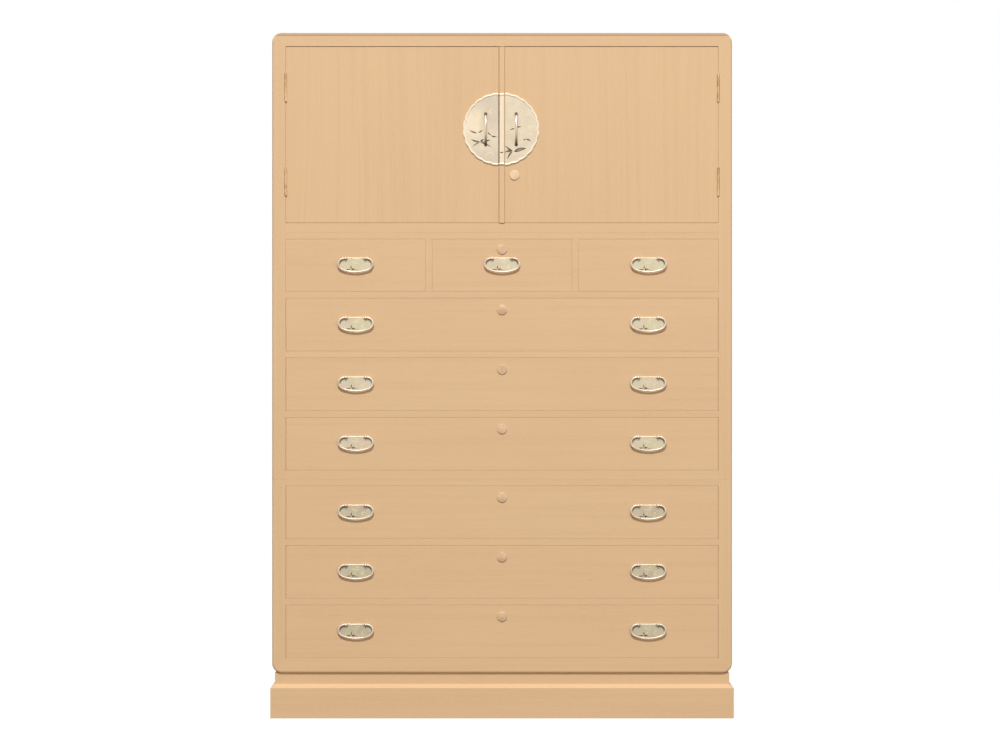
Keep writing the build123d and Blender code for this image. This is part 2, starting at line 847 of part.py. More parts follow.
# trays on their runners
tray_pitch = door_opening / trays
tray_height = tray_pitch - runner_height - tray_headroom
tray_levels = [door_z + tray_pitch * i for i in range(trays)]
tray_set = []
runners = []
for z in tray_levels:
    tray_set += tray_pieces(z, tray_height)
for z in tray_levels[1:]:
    for side in (-1, 1):
        x0 = side * inner_x
        x1 = side * (inner_x - runner_width)
        y0 = door_back + tray_door_gap
        runners.append(board(x0, x1, y0, panel_front, z - runner_height, z))
keep_node("kimono_trays", tray_set)
upper_inner = [shelf_board(z, t) for z, t in upper_shelves] + partitions + runners
keep_node("upper_case_shelves", upper_inner)

# hinges
case_leaves = []
for side in (-1, 1):
    for z in hinge_levels:
        case_leaves.append(hinge_half(side, z, False))
        case_leaves.append(hinge_pin_piece(side, z))
keep_node("case_hinge_leaves", case_leaves)
keep_node("left_door_hinge_leaves", [hinge_half(-1, z, True) for z in hinge_levels])
keep_node("right_door_hinge_leaves", [hinge_half(1, z, True) for z in hinge_levels])

# doors
door_edge = inner_x - door_gap
door_thickness = door_face + door_frame
bore_depth = round_plate + door_thickness
left_door = door_pieces(-door_edge, left_meeting, -1)
right_door = door_pieces(right_meeting, door_edge, 1)
for index in (0, 2):
    left_door[index] = bore_for_screws(left_door[index], left_pull_x, bore_depth)
for index in (0, 1):
    right_door[index] = bore_for_screws(right_door[index], right_pull_x, bore_depth)
with BuildPart() as left_edge:
    add(left_door[2])
    strike_y = door_back - door_frame / 2
    with Locations((left_meeting - strike_thickness / 2, strike_y, door_cover_z)):
        Box(strike_thickness, strike_width, strike_height, mode=Mode.SUBTRACT)
left_door[2] = left_edge.part
for index in (0, 1):
    right_door[index] = cut_for_lock(
        right_door[index], door_cover_x, door_front, door_cover_z, door_thickness
    )
keep_node("left_door", left_door)
keep_node("right_door", right_door)

# meeting strip on the right door
strip_edge = right_meeting + strip_width
strip_z0 = door_z + door_bottom_gap
strip_z1 = door_top - door_top_gap
with BuildPart() as meeting_strip:
    add(board(right_meeting, strip_edge, strip_front, door_front, strip_z0, strip_z1))
    long_edges = meeting_strip.edges().group_by(Axis.Y)[0].filter_by(Axis.Z).sort_by(Axis.X)
    fillet(long_edges[-1], strip_round)
    long_edges = meeting_strip.edges().group_by(Axis.Y)[0].filter_by(Axis.Z).sort_by(Axis.X)
    fillet(long_edges[0], ease)
keep_node("meeting_strip", [meeting_strip.part])

# round plate, strike and lock of the doors
strike = board(
    left_meeting - strike_thickness,
    left_meeting,
    strike_y - strike_width / 2,
    strike_y + strike_width / 2,
    door_cover_z - strike_height / 2,
    door_cover_z + strike_height / 2,
)
plate_reach = plate_spread + plate_lobe
left_half = plate_part(door_front, plate_x - plate_reach, left_meeting - plate_setback)
left_half = bore_for_screws(left_half, left_pull_x, bore_depth)
strip_part = plate_part(strip_front, right_meeting + plate_setback, strip_edge - strip_round)
right_half = plate_part(door_front, strip_edge, plate_x + plate_reach)
right_half = bore_for_screws(right_half, right_pull_x, bore_depth)
keep_node("left_door_round_plate", [left_half, strike])
keep_node(
    "right_door_round_plate",
    [right_half, strip_part]
    + lock_pieces(door_cover_x, door_front, door_cover_z, door_thickness),
)
keep_node("right_door_key_cover", [cover_piece(door_cover_x, door_front, door_cover_z)])
for name, x in (("left_door_pull", left_pull_x), ("right_door_pull", right_pull_x)):
    screws = [
        pull_screw(x, plate_z + end * (pull_length - pull_foot) / 2) for end in (-1, 1)
    ]
    keep_node(name, [bow_pull(x)] + screws)

# drawers
pull_pair = [pull_inset_x - inner_x, inner_x - pull_inset_x]
for count, z in enumerate(reversed(upper_openings), 1):
    write_drawer(
        f"upper_drawer_{count}", 0, z, inner_width, large_opening, pull_pair, large_cover_drop
    )
for count, z in enumerate(reversed(lower_openings), 1):
    write_drawer(
        f"lower_drawer_{count}", 0, z, inner_width, large_opening, pull_pair, large_cover_drop
    )
for k, place in enumerate(("left", "middle", "right")):
    x = small_first + small_step * k
    drop = small_cover_drop if place == "middle" else None
    write_drawer(f"small_drawer_{place}", x, small_z, small_width, small_opening, [x], drop)
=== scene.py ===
import math

import bmesh
import bpy
from mathutils import Matrix, Vector


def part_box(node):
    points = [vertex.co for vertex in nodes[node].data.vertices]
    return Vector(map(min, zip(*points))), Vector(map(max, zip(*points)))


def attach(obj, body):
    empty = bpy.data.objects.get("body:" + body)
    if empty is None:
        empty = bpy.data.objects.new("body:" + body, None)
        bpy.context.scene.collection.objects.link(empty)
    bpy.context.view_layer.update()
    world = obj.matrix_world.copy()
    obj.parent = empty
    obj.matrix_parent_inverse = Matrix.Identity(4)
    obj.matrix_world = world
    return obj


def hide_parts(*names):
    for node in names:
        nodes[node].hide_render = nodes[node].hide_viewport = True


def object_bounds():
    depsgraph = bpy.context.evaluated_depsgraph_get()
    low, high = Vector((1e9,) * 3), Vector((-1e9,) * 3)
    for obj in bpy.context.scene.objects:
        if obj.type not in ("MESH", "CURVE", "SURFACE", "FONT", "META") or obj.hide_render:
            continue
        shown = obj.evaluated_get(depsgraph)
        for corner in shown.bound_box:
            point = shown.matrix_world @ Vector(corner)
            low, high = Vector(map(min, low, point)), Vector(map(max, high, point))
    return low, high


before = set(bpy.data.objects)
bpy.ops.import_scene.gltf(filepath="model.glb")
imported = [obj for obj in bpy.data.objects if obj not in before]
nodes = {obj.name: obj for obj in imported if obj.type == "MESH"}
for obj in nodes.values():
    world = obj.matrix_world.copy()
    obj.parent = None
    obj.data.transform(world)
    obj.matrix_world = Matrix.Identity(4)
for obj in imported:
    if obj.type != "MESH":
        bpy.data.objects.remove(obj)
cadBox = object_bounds()
print("frame loaded:", len(nodes), "nodes")


def millimetres(value):
    return value / 1000


def paint(red, green, blue):  # a colour as a paint chart gives it, 0 to 255
    def straight(part):
        part = part / 255
        return part / 12.92 if part <= 0.04045 else ((part + 0.055) / 1.055) ** 2.4

    return (straight(red), straight(green), straight(blue), 1.0)


# shader sums
class Wire:  # one output of a node, usable in sums
    def __init__(self, tree, socket=None):
        self.tree = tree
        self.socket = socket

    def add(self, kind, settings=None, sockets=None, output=0):
        made = self.tree.nodes.new(kind)
        for key, value in (settings or {}).items():
            setattr(made, key, value)
        for key, value in (sockets or {}).items():
            if isinstance(value, Wire):
                self.tree.links.new(value.socket, made.inputs[key])
            else:
                made.inputs[key].default_value = value
        return Wire(self.tree, made.outputs[output] if len(made.outputs) else None)

    def maths(self, operation, first, second):
        return self.add("ShaderNodeMath", {"operation": operation}, {0: first, 1: second})

    def __add__(self, other):
        return self.maths("ADD", self, other)

    def __radd__(self, other):
        return self.maths("ADD", other, self)

    def __sub__(self, other):
        return self.maths("SUBTRACT", self, other)

    def __rsub__(self, other):
        return self.maths("SUBTRACT", other, self)

    def __mul__(self, other):
        return self.maths("MULTIPLY", self, other)

    def __rmul__(self, other):
        return self.maths("MULTIPLY", other, self)

    def __pow__(self, other):
        return self.maths("POWER", self, other)

    def __mod__(self, other):
        return self.maths("MODULO", self, other)

    def __gt__(self, other):
        return self.maths("GREATER_THAN", self, other)

    def __lt__(self, other):
        return self.maths("LESS_THAN", self, other)

    def __abs__(self):
        return self.maths("ABSOLUTE", self, 0.0)

    def floor(self):
        return self.maths("FLOOR", self, 0.0)

    def fraction(self):
        return self.maths("FRACT", self, 0.0)

    def between(self, low, high):  # 0 at low, 1 at high, eased
        return self.add(
            "ShaderNodeMapRange",
            {"interpolation_type": "SMOOTHSTEP"},
            {"Value": self, "From Min": low, "From Max": high},
        )

    def axes(self):  # the piece's own coordinates
        place = self.add("ShaderNodeTexCoord", output="Object")
        split = self.tree.nodes.new("ShaderNodeSeparateXYZ")
        self.tree.links.new(place.socket, split.inputs[0])
        return [Wire(self.tree, socket) for socket in split.outputs]

    def noise(self, along, across, deep, detail=2.0, roughness=0.5):
        vector = self.add("ShaderNodeCombineXYZ", None, {0: along, 1: across, 2: deep})
        return self.add(
            "ShaderNodeTexNoise",
            None,
            {"Vector": vector, "Scale": 1.0, "Detail": detail, "Roughness": roughness},
        )

    def blend(self, share, first, second):
        mixed = self.tree.nodes.new("ShaderNodeMix")
        mixed.data_type = "RGBA"
        for index, value in ((0, share), (6, first), (7, second)):
            if isinstance(value, Wire):
                self.tree.links.new(value.socket, mixed.inputs[index])
            else:
                mixed.inputs[index].default_value = value
        return Wire(self.tree, mixed.outputs[2])


def freshMaterial(name):
    material = bpy.data.materials.new(name)
    material.use_nodes = True
    material.node_tree.nodes.clear()
    return material, Wire(material.node_tree)


def surface(wire, look, height, sockets):
    relief = {"Strength": look["bump"], "Distance": look["bumpDepth"], "Height": height}
    bump = wire.add("ShaderNodeBump", None, relief)
    shader = wire.add("ShaderNodeBsdfPrincipled", None, {"Normal": bump, **sockets})
    wire.add("ShaderNodeOutputMaterial", None, {"Surface": shader})


# paulownia
kiri = {
    "pale": paint(231, 193, 148),
    "warm": paint(229, 190, 145),
    "late": paint(208, 163, 116),  # the narrow darker part of each ring
    "pore": paint(172, 128, 84),
    "fresh": paint(236, 208, 172),  # boards that hands and light seldom reach
    "ringShare": 0.09,
    "lineShare": 0.13,
    "poreShare": 0.30,
    "poresInPale": 0.4,  # of them, between the darker parts of the rings
    "poreDepth": 0.7,
    "lineDepth": 0.3,
    # painted highlight of the eased edges of door and drawer fronts
    "arris": paint(250, 222, 184),
    "edge": paint(176, 136, 98),  # painted shade in the gaps beside and under the fronts, at the meeting strip's right edge and along the rounded edges of the cases
    "roughness": 0.50,
    "poreRoughness": 0.10,
    "lineRoughness": 0.08,
    "bump": 0.12,
    "bumpDepth": 0.0003,
}
kiriGrain = {  # noise per metre along and across the grain, its detail, where a mark starts and is full
    "cloud": {"along": 1.5, "across": 6, "detail": 2.0, "start": 0.30, "full": 0.70},
    "rings": {"along": 0.8, "across": 70, "detail": 3.0, "start": 0.46, "full": 0.68},
    "lines": {"along": 3.5, "across": 800, "detail": 2.0, "start": 0.45, "full": 0.72},
    "pores": {"along": 45, "across": 2400, "detail": 1.0, "start": 0.60, "full": 0.74},
}
grainDrift = {"along": 1.1, "across": 2.5, "reach": 0.05}  # the slow wander of the grain
boardShift = {"along": 1.9, "across": 0.37, "crossBoard": 0.7}  # so that no two boards are alike
grainAxes = {"x": (0, 1, 2), "y": (1, 0, 2), "z": (2, 0, 1)}


def grainMark(wire, along, across, deep, mark):
    look = kiriGrain[mark]
    wide = look["across"]
    noise = wire.noise(along * look["along"], across * wide, deep * wide, look["detail"])
    return noise.between(look["start"], look["full"])


def kiriWood(name, grain, seed, crossGrain=None, crossPart=None, paler=0.0, touches=()):
    material, wire = freshMaterial(name)
    place = wire.axes()
    along, across, deep = [place[index] for index in grainAxes[grain]]
    if crossPart is not None:  # a second board in the same piece, with its grain another way
        share = crossPart(*place)
        other = [place[index] for index in grainAxes[crossGrain]]
        along, across, deep = [
            one + (two - one) * share for one, two in zip((along, across, deep), other)
        ]
        across = across + share * boardShift["crossBoard"]
    across = across + seed * boardShift["across"]
    along = along + seed * boardShift["along"]
    wide = grainDrift["across"]
    drift = wire.noise(along * grainDrift["along"], across * wide, deep * wide, 1.0)
    bent = across + drift * grainDrift["reach"]
    cloud, rings, lines, pores = [grainMark(wire, along, bent, deep, mark) for mark in kiriGrain]
    colour = wire.blend(cloud, kiri["pale"], kiri["warm"])
    colour = wire.blend(rings * kiri["ringShare"], colour, kiri["late"])
    colour = wire.blend(lines * kiri["lineShare"], colour, kiri["late"])
    density = kiri["poresInPale"] + (1 - kiri["poresInPale"]) * rings
    colour = wire.blend(pores * kiri["poreShare"] * density, colour, kiri["pore"])
    if paler:
        colour = wire.blend(paler, colour, kiri["fresh"])
    for part, tone in touches:
        colour = wire.blend(part(*place), colour, kiri[tone])
    height = 1 - pores * kiri["poreDepth"] - lines * kiri["lineDepth"]
    dull = kiri["lineRoughness"] * lines + kiri["poreRoughness"] * pores
    surface(wire, kiri, height, {"Base Color": colour, "Roughness": kiri["roughness"] + dull})
    return material


def stand(name, data):  # a new object in the scene
    made = bpy.data.objects.new(name, data)
    bpy.context.scene.collection.objects.link(made)
    return made


def dress(name, material):
    shell = nodes[name]
    shell.data.materials.clear()
    shell.data.materials.append(material)


boards = {  # a hair over the thickness of each
    "drawerSide": millimetres(12.2),
    "drawerLap": millimetres(9.2),  # what a drawer's front keeps before its sides
    "plinthBoard": millimetres(30.2),
    "doorStile": millimetres(55),
    "doorFace": millimetres(9.02),
    "traySide": millimetres(10.1),
}


def drawerSides(name):
    low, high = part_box(name)
    middle = (low.x + high.x) / 2
    inner = (high.x - low.x) / 2 - boards["drawerSide"]
    lap = low.y + boards["drawerLap"]

    def part(x, y, z):
        return (abs(x - middle) > inner) * (y > lap)

    return part


def plinthSides(x, y, z):
    low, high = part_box("plinth")
    return (abs(x) > high.x - boards["plinthBoard"]) * (high.x - abs(x) < y - low.y)


def doorRails(name):
    low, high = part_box(name)
    middle = (low.x + high.x) / 2
    inner = (high.x - low.x) / 2 - boards["doorStile"]
    frameFront = low.y + boards["doorFace"]

    def part(x, y, z):
        return (abs(x - middle) < inner) * (y > frameFront)

    return part


def traySides(x, y, z):
    return abs(x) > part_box("kimono_trays")[1].x - boards["traySide"]


worn = {  # widths of the painted highlights and painted shade on edges, and how strong each is
    "arris": millimetres(1.1),
    "drawerArris": 0.45,
    "doorArris": 0.40,
    "endShade": millimetres(1.2),
    "drawerEnds": 0.60,
    "footShade": millimetres(2.0),
    "drawerFoot": 0.15,
    "doorFoot": 0.60,
    "stripShade": millimetres(1.3),
    "stripEdge": 0.55,
    "outline": millimetres(2.4),
    "outlineShare": 0.75,
    "outlineFull": millimetres(4),  # from the front back
    "outlineEnd": millimetres(12),
}


def frontArrisHighlight(name, share):  # painted highlight: the pale narrow edges of a door's or drawer's front, where light catches their eased edges
    low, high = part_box(name)
    width = worn["arris"]
    middle = (low + high) / 2

    def part(x, y, z):
        sides = abs(x - middle.x) > (high.x - low.x) / 2 - width
        ends = abs(z - middle.z) > (high.z - low.z) / 2 - width
        return (sides + ends > 0.5) * (y < low.y + width) * share

    return part, "arris"


def gapShade(name, beside, below):  # painted shade: the dark of the gaps at the ends and foot of a front
    low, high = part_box(name)
    middle = (low.x + high.x) / 2

    def part(x, y, z):
        ends = (abs(x - middle) > (high.x - low.x) / 2 - worn["endShade"]) * beside
        foot = (z < low.z + worn["footShade"]) * below
        return (ends + foot) * (y < low.y + worn["arris"])

    return part, "edge"


def stripShade(x, y, z):  # painted shadow: the dark of the meeting strip's right edge
    return (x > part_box("meeting_strip")[1].x - worn["stripShade"]) * worn["stripEdge"]


pegs = {"count": 4, "radius": millimetres(1.4), "behind": millimetres(13), "share": 0.55}


def sidePegs(name):  # ends of the wooden pegs that hold a drawer's sides to its front
    low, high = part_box(name)
    step = (high.z - low.z) / pegs["count"]
    row = low.y + pegs["behind"]

    def part(x, y, z):
        height = (((z - low.z) * (1 / step)).fraction() - 0.5) * step
        along = y - row
        behind = y > low.y + boards["drawerLap"]
        onPeg = (along * along + height * height) ** 0.5 < pegs["radius"]
        return onPeg * behind * pegs["share"]

    return part, "pore"


def outerEdgeShade(x, y, z):  # painted shade along the rounded edges of the two cases
    low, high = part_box("upper_case_sides")
    sides = abs(x).between(high.x - worn["outline"], high.x)
    top = z.between(high.z - worn["outline"], high.z)
    front = y.between(low.y + worn["outlineEnd"], low.y + worn["outlineFull"])
    return (sides + top) * front * worn["outlineShare"]


planks = {
    "count": 4,  # to each back board
    "first": 40,  # any count above zero
    "toneStart": 0.11,
    "toneStep": 0.37,
    "toneShare": 0.22,
    "seam": millimetres(0.9),
    "seamShare": 0.55,
    "paler": 0.25,
}


def backPlanks(name, seed):
    width = (cadBox[1].x - cadBox[0].x) / planks["count"]

    def place(x):  # whole numbers fall on the seams
        return x * (1 / width) + planks["first"]

    def tone(x, y, z):
        return (place(x).floor() * planks["toneStep"] + planks["toneStart"]) % 1.0 * planks["toneShare"]

    def seam(x, y, z):
        beside = abs(place(x).fraction() - 0.5) > 0.5 - planks["seam"] / width
        return beside * planks["seamShare"]

    touches = [(tone, "late"), (seam, "pore")]
    return kiriWood(name, "z", seed, paler=planks["paler"], touches=touches)


largeDrawers = [f"{case}_drawer_{count}" for case in ("upper", "lower") for count in (1, 2, 3)]
smallDrawers = [f"small_drawer_{place}" for place in ("left", "middle", "right")]
drawers = largeDrawers + smallDrawers

for seed, name in enumerate(drawers):
    beside = worn["drawerEnds"] if name in largeDrawers else 0
    touches = [
        frontArrisHighlight(name, worn["drawerArris"]),
        gapShade(name, beside, worn["drawerFoot"]),
        sidePegs(name),
    ]
    dress(name, kiriWood(f"{name}Wood", "x", seed, "y", drawerSides(name), touches=touches))
dress("plinth", kiriWood("plinthWood", "x", 11, "y", plinthSides))
# painted shade on the rounded edges of the cases
outline = [(outerEdgeShade, "edge")]
dress("lower_case_sides", kiriWood("lowerSideWood", "z", 12, touches=outline))
dress("upper_case_sides", kiriWood("upperSideWood", "z", 13, touches=outline))
dress("lower_case_top_and_bottom", kiriWood("lowerRailWood", "x", 14))
dress("upper_case_top_and_floor", kiriWood("upperRailWood", "x", 15, touches=outline))
dress("lower_case_shelves", kiriWood("lowerShelfWood", "x", 16))
dress("upper_case_shelves", kiriWood("upperShelfWood", "x", 17))
dress("back_panels", backPlanks("backWood", 18))
dress("kimono_trays", kiriWood("trayWood", "x", 19, "y", traySides, paler=0.2))
for seed, name in ((20, "left_door"), (21, "right_door")):
    touches = [frontArrisHighlight(name, worn["doorArris"]), gapShade(name, 0, worn["doorFoot"])]
    dress(name, kiriWood(f"{name}Wood", "z", seed, "x", doorRails(name), touches=touches))
dress("meeting_strip", kiriWood("meetingStripWood", "z", 22, touches=[(stripShade, "edge")]))
print("wood done")

# metals
def metalLook(face, worn, metallic, roughness):
    return {"face": paint(*face), "worn": paint(*worn), "metallic": metallic, "roughness": roughness}


metals = {
    "silver": metalLook((250, 244, 234), (226, 212, 194), 0.85, 0.26),
    "wire": metalLook((238, 223, 206), (218, 200, 181), 0.6, 0.44),
    "champagne": metalLook((231, 214, 186), (225, 206, 178), 0.35, 0.38),
    "roundPlate": metalLook((238, 221, 195), (229, 211, 186), 0.35, 0.38),
    # painted shade: the upper plates' champagne made darker for the plates of the lower case
    "lowerPlate": metalLook((214, 200, 172), (206, 190, 164), 0.35, 0.38),
    "doorCover": metalLook((246, 214, 174), (236, 203, 163), 0.25, 0.40),
    "cream": metalLook((255, 243, 220), (250, 232, 202), 0.15, 0.34),
    "bronze": metalLook((232, 198, 158), (214, 178, 140), 0.35, 0.42),
    "hinge": metalLook((226, 192, 150), (186, 150, 108), 0.8, 0.32),
    "screw": metalLook((150, 118, 82), (116, 88, 60), 0.7, 0.36),
    "gold": metalLook((250, 232, 190), (238, 214, 160), 0.35, 0.34),
    "darkLeaf": metalLook((84, 64, 52), (120, 100, 78), 0.3, 0.50),
    "leafMiddle": metalLook((158, 144, 124), (176, 160, 136), 0.3, 0.5),
}
metalFinish = {
    "cloudsPerMetre": 45,  # patches where the polish has rubbed thin
    "cloudStart": 0.35,
    "cloudFull": 0.68,
    "brushing": (260, 900, 2600),  # strokes per metre along X, Y and Z
    "bump": 0.05,
    "bumpDepth": 0.0001,
    "unevenness": 0.14,
    "green": paint(221, 214, 176),
    "greensPerMetre": 28,
    "greenShift": 5,
    "greenStart": 0.40,
    "greenFull": 0.62,
}


def metalColour(wire, look, x, y, z):
    size = metalFinish["cloudsPerMetre"]
    cloud = wire.noise(x * size, y * size, z * size)
    worn = cloud.between(metalFinish["cloudStart"], metalFinish["cloudFull"])
    return wire.blend(worn, look["face"], look["worn"])


def metalSurface(wire, colour, metallic, roughness, x, y, z):
    acrossX, acrossY, acrossZ = metalFinish["brushing"]
    brushed = wire.noise(x * acrossX, y * acrossY, z * acrossZ)
    roughness = roughness + (brushed - 0.5) * metalFinish["unevenness"]
    sockets = {"Base Color": colour, "Metallic": metallic, "Roughness": roughness}
    surface(wire, metalFinish, brushed, sockets)


def plainMetal(name):
    look = metals[name]
    material, wire = freshMaterial(name)
    x, y, z = wire.axes()
    colour = metalColour(wire, look, x, y, z)
    metalSurface(wire, colour, look["metallic"], look["roughness"], x, y, z)
    return material


def plateMetal(name, plainLook, proudLook, inFront, green, touches):
    # what stands in front of a plate has its own finish, and green is the share of a pale green tint
    material, wire = freshMaterial(name)
    x, y, z = wire.axes()
    plain = metals[plainLook]
    proudLook = metals[proudLook]
    plate = metalColour(wire, plain, x, y, z)
    size = metalFinish["greensPerMetre"]
    tint = wire.noise(x * size + metalFinish["greenShift"], y * size, z * size, 1.0)
    tint = tint.between(metalFinish["greenStart"], metalFinish["greenFull"])
    plate = wire.blend(tint * green, plate, metalFinish["green"])
    proud = inFront(x, y, z)
    colour = wire.blend(proud, plate, metalColour(wire, proudLook, x, y, z))
    for part, look in touches:
        colour = wire.blend(part(x, y, z), colour, look)
    metallic = plain["metallic"] + (proudLook["metallic"] - plain["metallic"]) * proud
    roughness = plain["roughness"] + (proudLook["roughness"] - plain["roughness"]) * proud
    metalSurface(wire, colour, metallic, roughness, x, y, z)
    return material


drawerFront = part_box("upper_drawer_1")[0].y
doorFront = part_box("right_door")[0].y
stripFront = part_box("meeting_strip")[0].y
skin = millimetres(0.1)  # so that a mask doesn't lie in the face that it cuts off
pullPlate = {"thickness": millimetres(1.8)}
roundPlate = {
    "thickness": millimetres(1.6),
    "rimHeight": millimetres(0.8),
    "setback": millimetres(0.6),  # of the left half's straight edge and the strip piece's
}

bail = {
    "postSpacing": millimetres(48),
    "endX": millimetres(27.8),  # from the middle of a pull to where the wire starts
    "cornerRadius": millimetres(14.0),
    "bowRadius": millimetres(91),
    "thickWire": millimetres(2.5),
    "thinWire": millimetres(1.8),
    "endWire": millimetres(2.1),
    "pin": millimetres(1.35),
    "pinReach": millimetres(1),  # into the post
    "shoulderStart": millimetres(0.3),  # where the pin grows to the wire's end
    "shoulderEnd": millimetres(0.2),
    "shoulderShare": 0.8,
    "taper": 1.2,  # how soon a corner comes down to the thin wire
    "cornerSteps": 14,
    "bowSteps": 20,
    "sides": 14,
}
bailNames = sorted(name for name in nodes if name.endswith("_bail"))


def bailAxis(name):  # the middle of the axis that a bail turns on
    low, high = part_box(name)
    wire = (high.y - low.y) / 2
    return Vector(((low.x + high.x) / 2, high.y - wire, high.z - wire))


# painted shade where a bail's shadow and dark reflection fall on its plate
tarnish = {
    "radius": millimetres(10.4),  # about the middle of a bail's corner
    "edge": millimetres(1.7),
    "full": millimetres(0.8),
    "bottom": millimetres(-5),
    "top": millimetres(6),
    "inner": millimetres(16.5),  # sideways from the middle of a pull
    "outer": millimetres(20),
}


def cornerPaintedShade(name, depth):  # painted shade: dark crescents inside the upper corners of the bails, standing for the wire's shadow and dark reflection on the plate
    axes = [bailAxis(bailName) for bailName in bailNames if bailName.startswith(name)]
    axis = axes[0]

    def part(x, y, z):
        side = abs(x - axis.x) if len(axes) == 1 else abs(abs(x) - abs(axis.x))
        beyond = side - bail["endX"]
        beyond = beyond * (beyond > 0)
        height = z - axis.z + bail["cornerRadius"]
        radius = (beyond * beyond + height * height) ** 0.5
        band = abs(radius - tarnish["radius"]).between(tarnish["edge"], tarnish["full"])
        fade = height.between(tarnish["bottom"], tarnish["top"])
        fade = fade * side.between(tarnish["inner"], tarnish["outer"])
        return band * fade * depth

    return part


def postsInFront(x, y, z):
    return y < drawerFront - pullPlate["thickness"] - skin


plateWearAndShade = {
    "behindStrip": millimetres(0.5),  # where the doors' rims end and the strip piece starts
    "onStrip": millimetres(0.2),
    "stripPolish": 0.80,
    "dullStart": millimetres(18),  # up and down from the middle of the left half
    "dullFull": millimetres(48),
    "dullShare": 0.60,
    "paleDrop": millimetres(72),  # from the top of the plate to the middle of the pale patch
    "paleFull": millimetres(12),  # up and down from its middle
    "paleEnd": millimetres(52),
    "paleLeft": millimetres(34),  # full this far from the plate's left edge
    "paleRight": millimetres(26),  # gone this far from its straight edge
    "paleShare": 0.75,
    # painted shadow at the plates' meeting and beside the strip's right edge
    "grimeLeft": millimetres(1.0),
    "grimeStrip": millimetres(1.3),
    "grimeShare": 0.80,
    "grimeRight": millimetres(0.9),
    "grimeRightShare": 0.40,
}


def rimInFront(x, y, z):
    onDoor = y < doorFront - roundPlate["thickness"] - skin
    onStrip = y < stripFront - roundPlate["thickness"] - skin
    return onDoor * (y > stripFront + plateWearAndShade["behindStrip"]) + onStrip


def stripPlate(x, y, z):  # the piece on the meeting strip is polished paler
    return (y < stripFront + plateWearAndShade["onStrip"]) * plateWearAndShade["stripPolish"]


def dullEnds(x, y, z):  # the left half is duller above and below
    low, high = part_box("left_door_round_plate")
    height = abs(z - (low.z + high.z) / 2)
    dull = height.between(plateWearAndShade["dullStart"], plateWearAndShade["dullFull"])
    return (x < high.x) * dull * plateWearAndShade["dullShare"]


def palePatch(x, y, z):  # brighter to the left of the left pull
    low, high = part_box("left_door_round_plate")
    height = abs(z - (high.z - plateWearAndShade["paleDrop"]))
    beside = x.between(high.x - plateWearAndShade["paleRight"], low.x + plateWearAndShade["paleLeft"])
    pale = height.between(plateWearAndShade["paleEnd"], plateWearAndShade["paleFull"])
    return beside * pale * plateWearAndShade["paleShare"]


def straightEdgeShadow(x, y, z):  # painted shadow along the meeting of the plates and beside the strip's right edge
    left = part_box("left_door_round_plate")[1].x - roundPlate["setback"] - plateWearAndShade["grimeLeft"]
    stripLow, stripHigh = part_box("meeting_strip")
    meeting = (x > left) * (x < stripLow.x + plateWearAndShade["grimeStrip"])
    beside = (x > stripHigh.x - skin) * (x < stripHigh.x + plateWearAndShade["grimeRight"])
    return meeting * plateWearAndShade["grimeShare"] + beside * plateWearAndShade["grimeRightShare"]


pullWearAndReflection = {  # heights as shares of half the pull, from its middle, where each mark starts and is full; the dull middle and the dark lower half are painted reflection
    "upper": (0.74, 0.86),
    "upperShare": 0.85,
    "lower": (0.25, 0.95),
    "lowerShare": 0.90,
    "dull": (0.42, 0.22),
    "dullShare": 0.80,
    "dullMetallic": 0.5,
    "dullRoughness": 0.2,
}


def pullSilver(name, middleZ, half):
    # painted reflection: plate colour from just above the middle down and a darkening over the lower
    # half stand for the plate and the dark floor that the bar mirrors; duller in the middle, polished
    # towards the top, with dark patina at the top end
    look = metals["silver"]
    material, wire = freshMaterial(name)
    x, y, z = wire.axes()
    height = (z - middleZ) * (1 / half)
    upper = height.between(*pullWearAndReflection["upper"])
    lower = (0.0 - height).between(*pullWearAndReflection["lower"])
    dull = height.between(*pullWearAndReflection["dull"])
    colour = metalColour(wire, look, x, y, z)
    # painted reflection of the plate, then of the dark floor over the lower half, with patina at the
    # top end
    colour = wire.blend(dull * pullWearAndReflection["dullShare"], colour, metals["champagne"]["worn"])
    dark = lower * pullWearAndReflection["lowerShare"] + upper * pullWearAndReflection["upperShare"]
    colour = wire.blend(dark, colour, metals["darkLeaf"]["face"])
    metallic = look["metallic"] - dull * pullWearAndReflection["dullMetallic"]
    roughness = look["roughness"] + dull * pullWearAndReflection["dullRoughness"]
    metalSurface(wire, colour, metallic, roughness, x, y, z)
    return material


silver = plainMetal("silver")
wireSilver = plainMetal("wire")
cream = plainMetal("cream")
bronze = plainMetal("bronze")
doorCover = plainMetal("doorCover")
screwMetal = plainMetal("screw")
hingeMetal = plainMetal("hinge")
gold = plainMetal("gold")
darkLeaf = plainMetal("darkLeaf")
leafMiddle = plainMetal("leafMiddle")
roundTouches = [
    (stripPlate, metals["cream"]["worn"]),
    (dullEnds, paint(216, 200, 178)),
    (palePatch, paint(255, 236, 204)),
    (straightEdgeShadow, metals["darkLeaf"]["worn"]),
]
roundPlates = plateMetal("roundPlates", "roundPlate", "cream", rimInFront, 0.2, roundTouches)
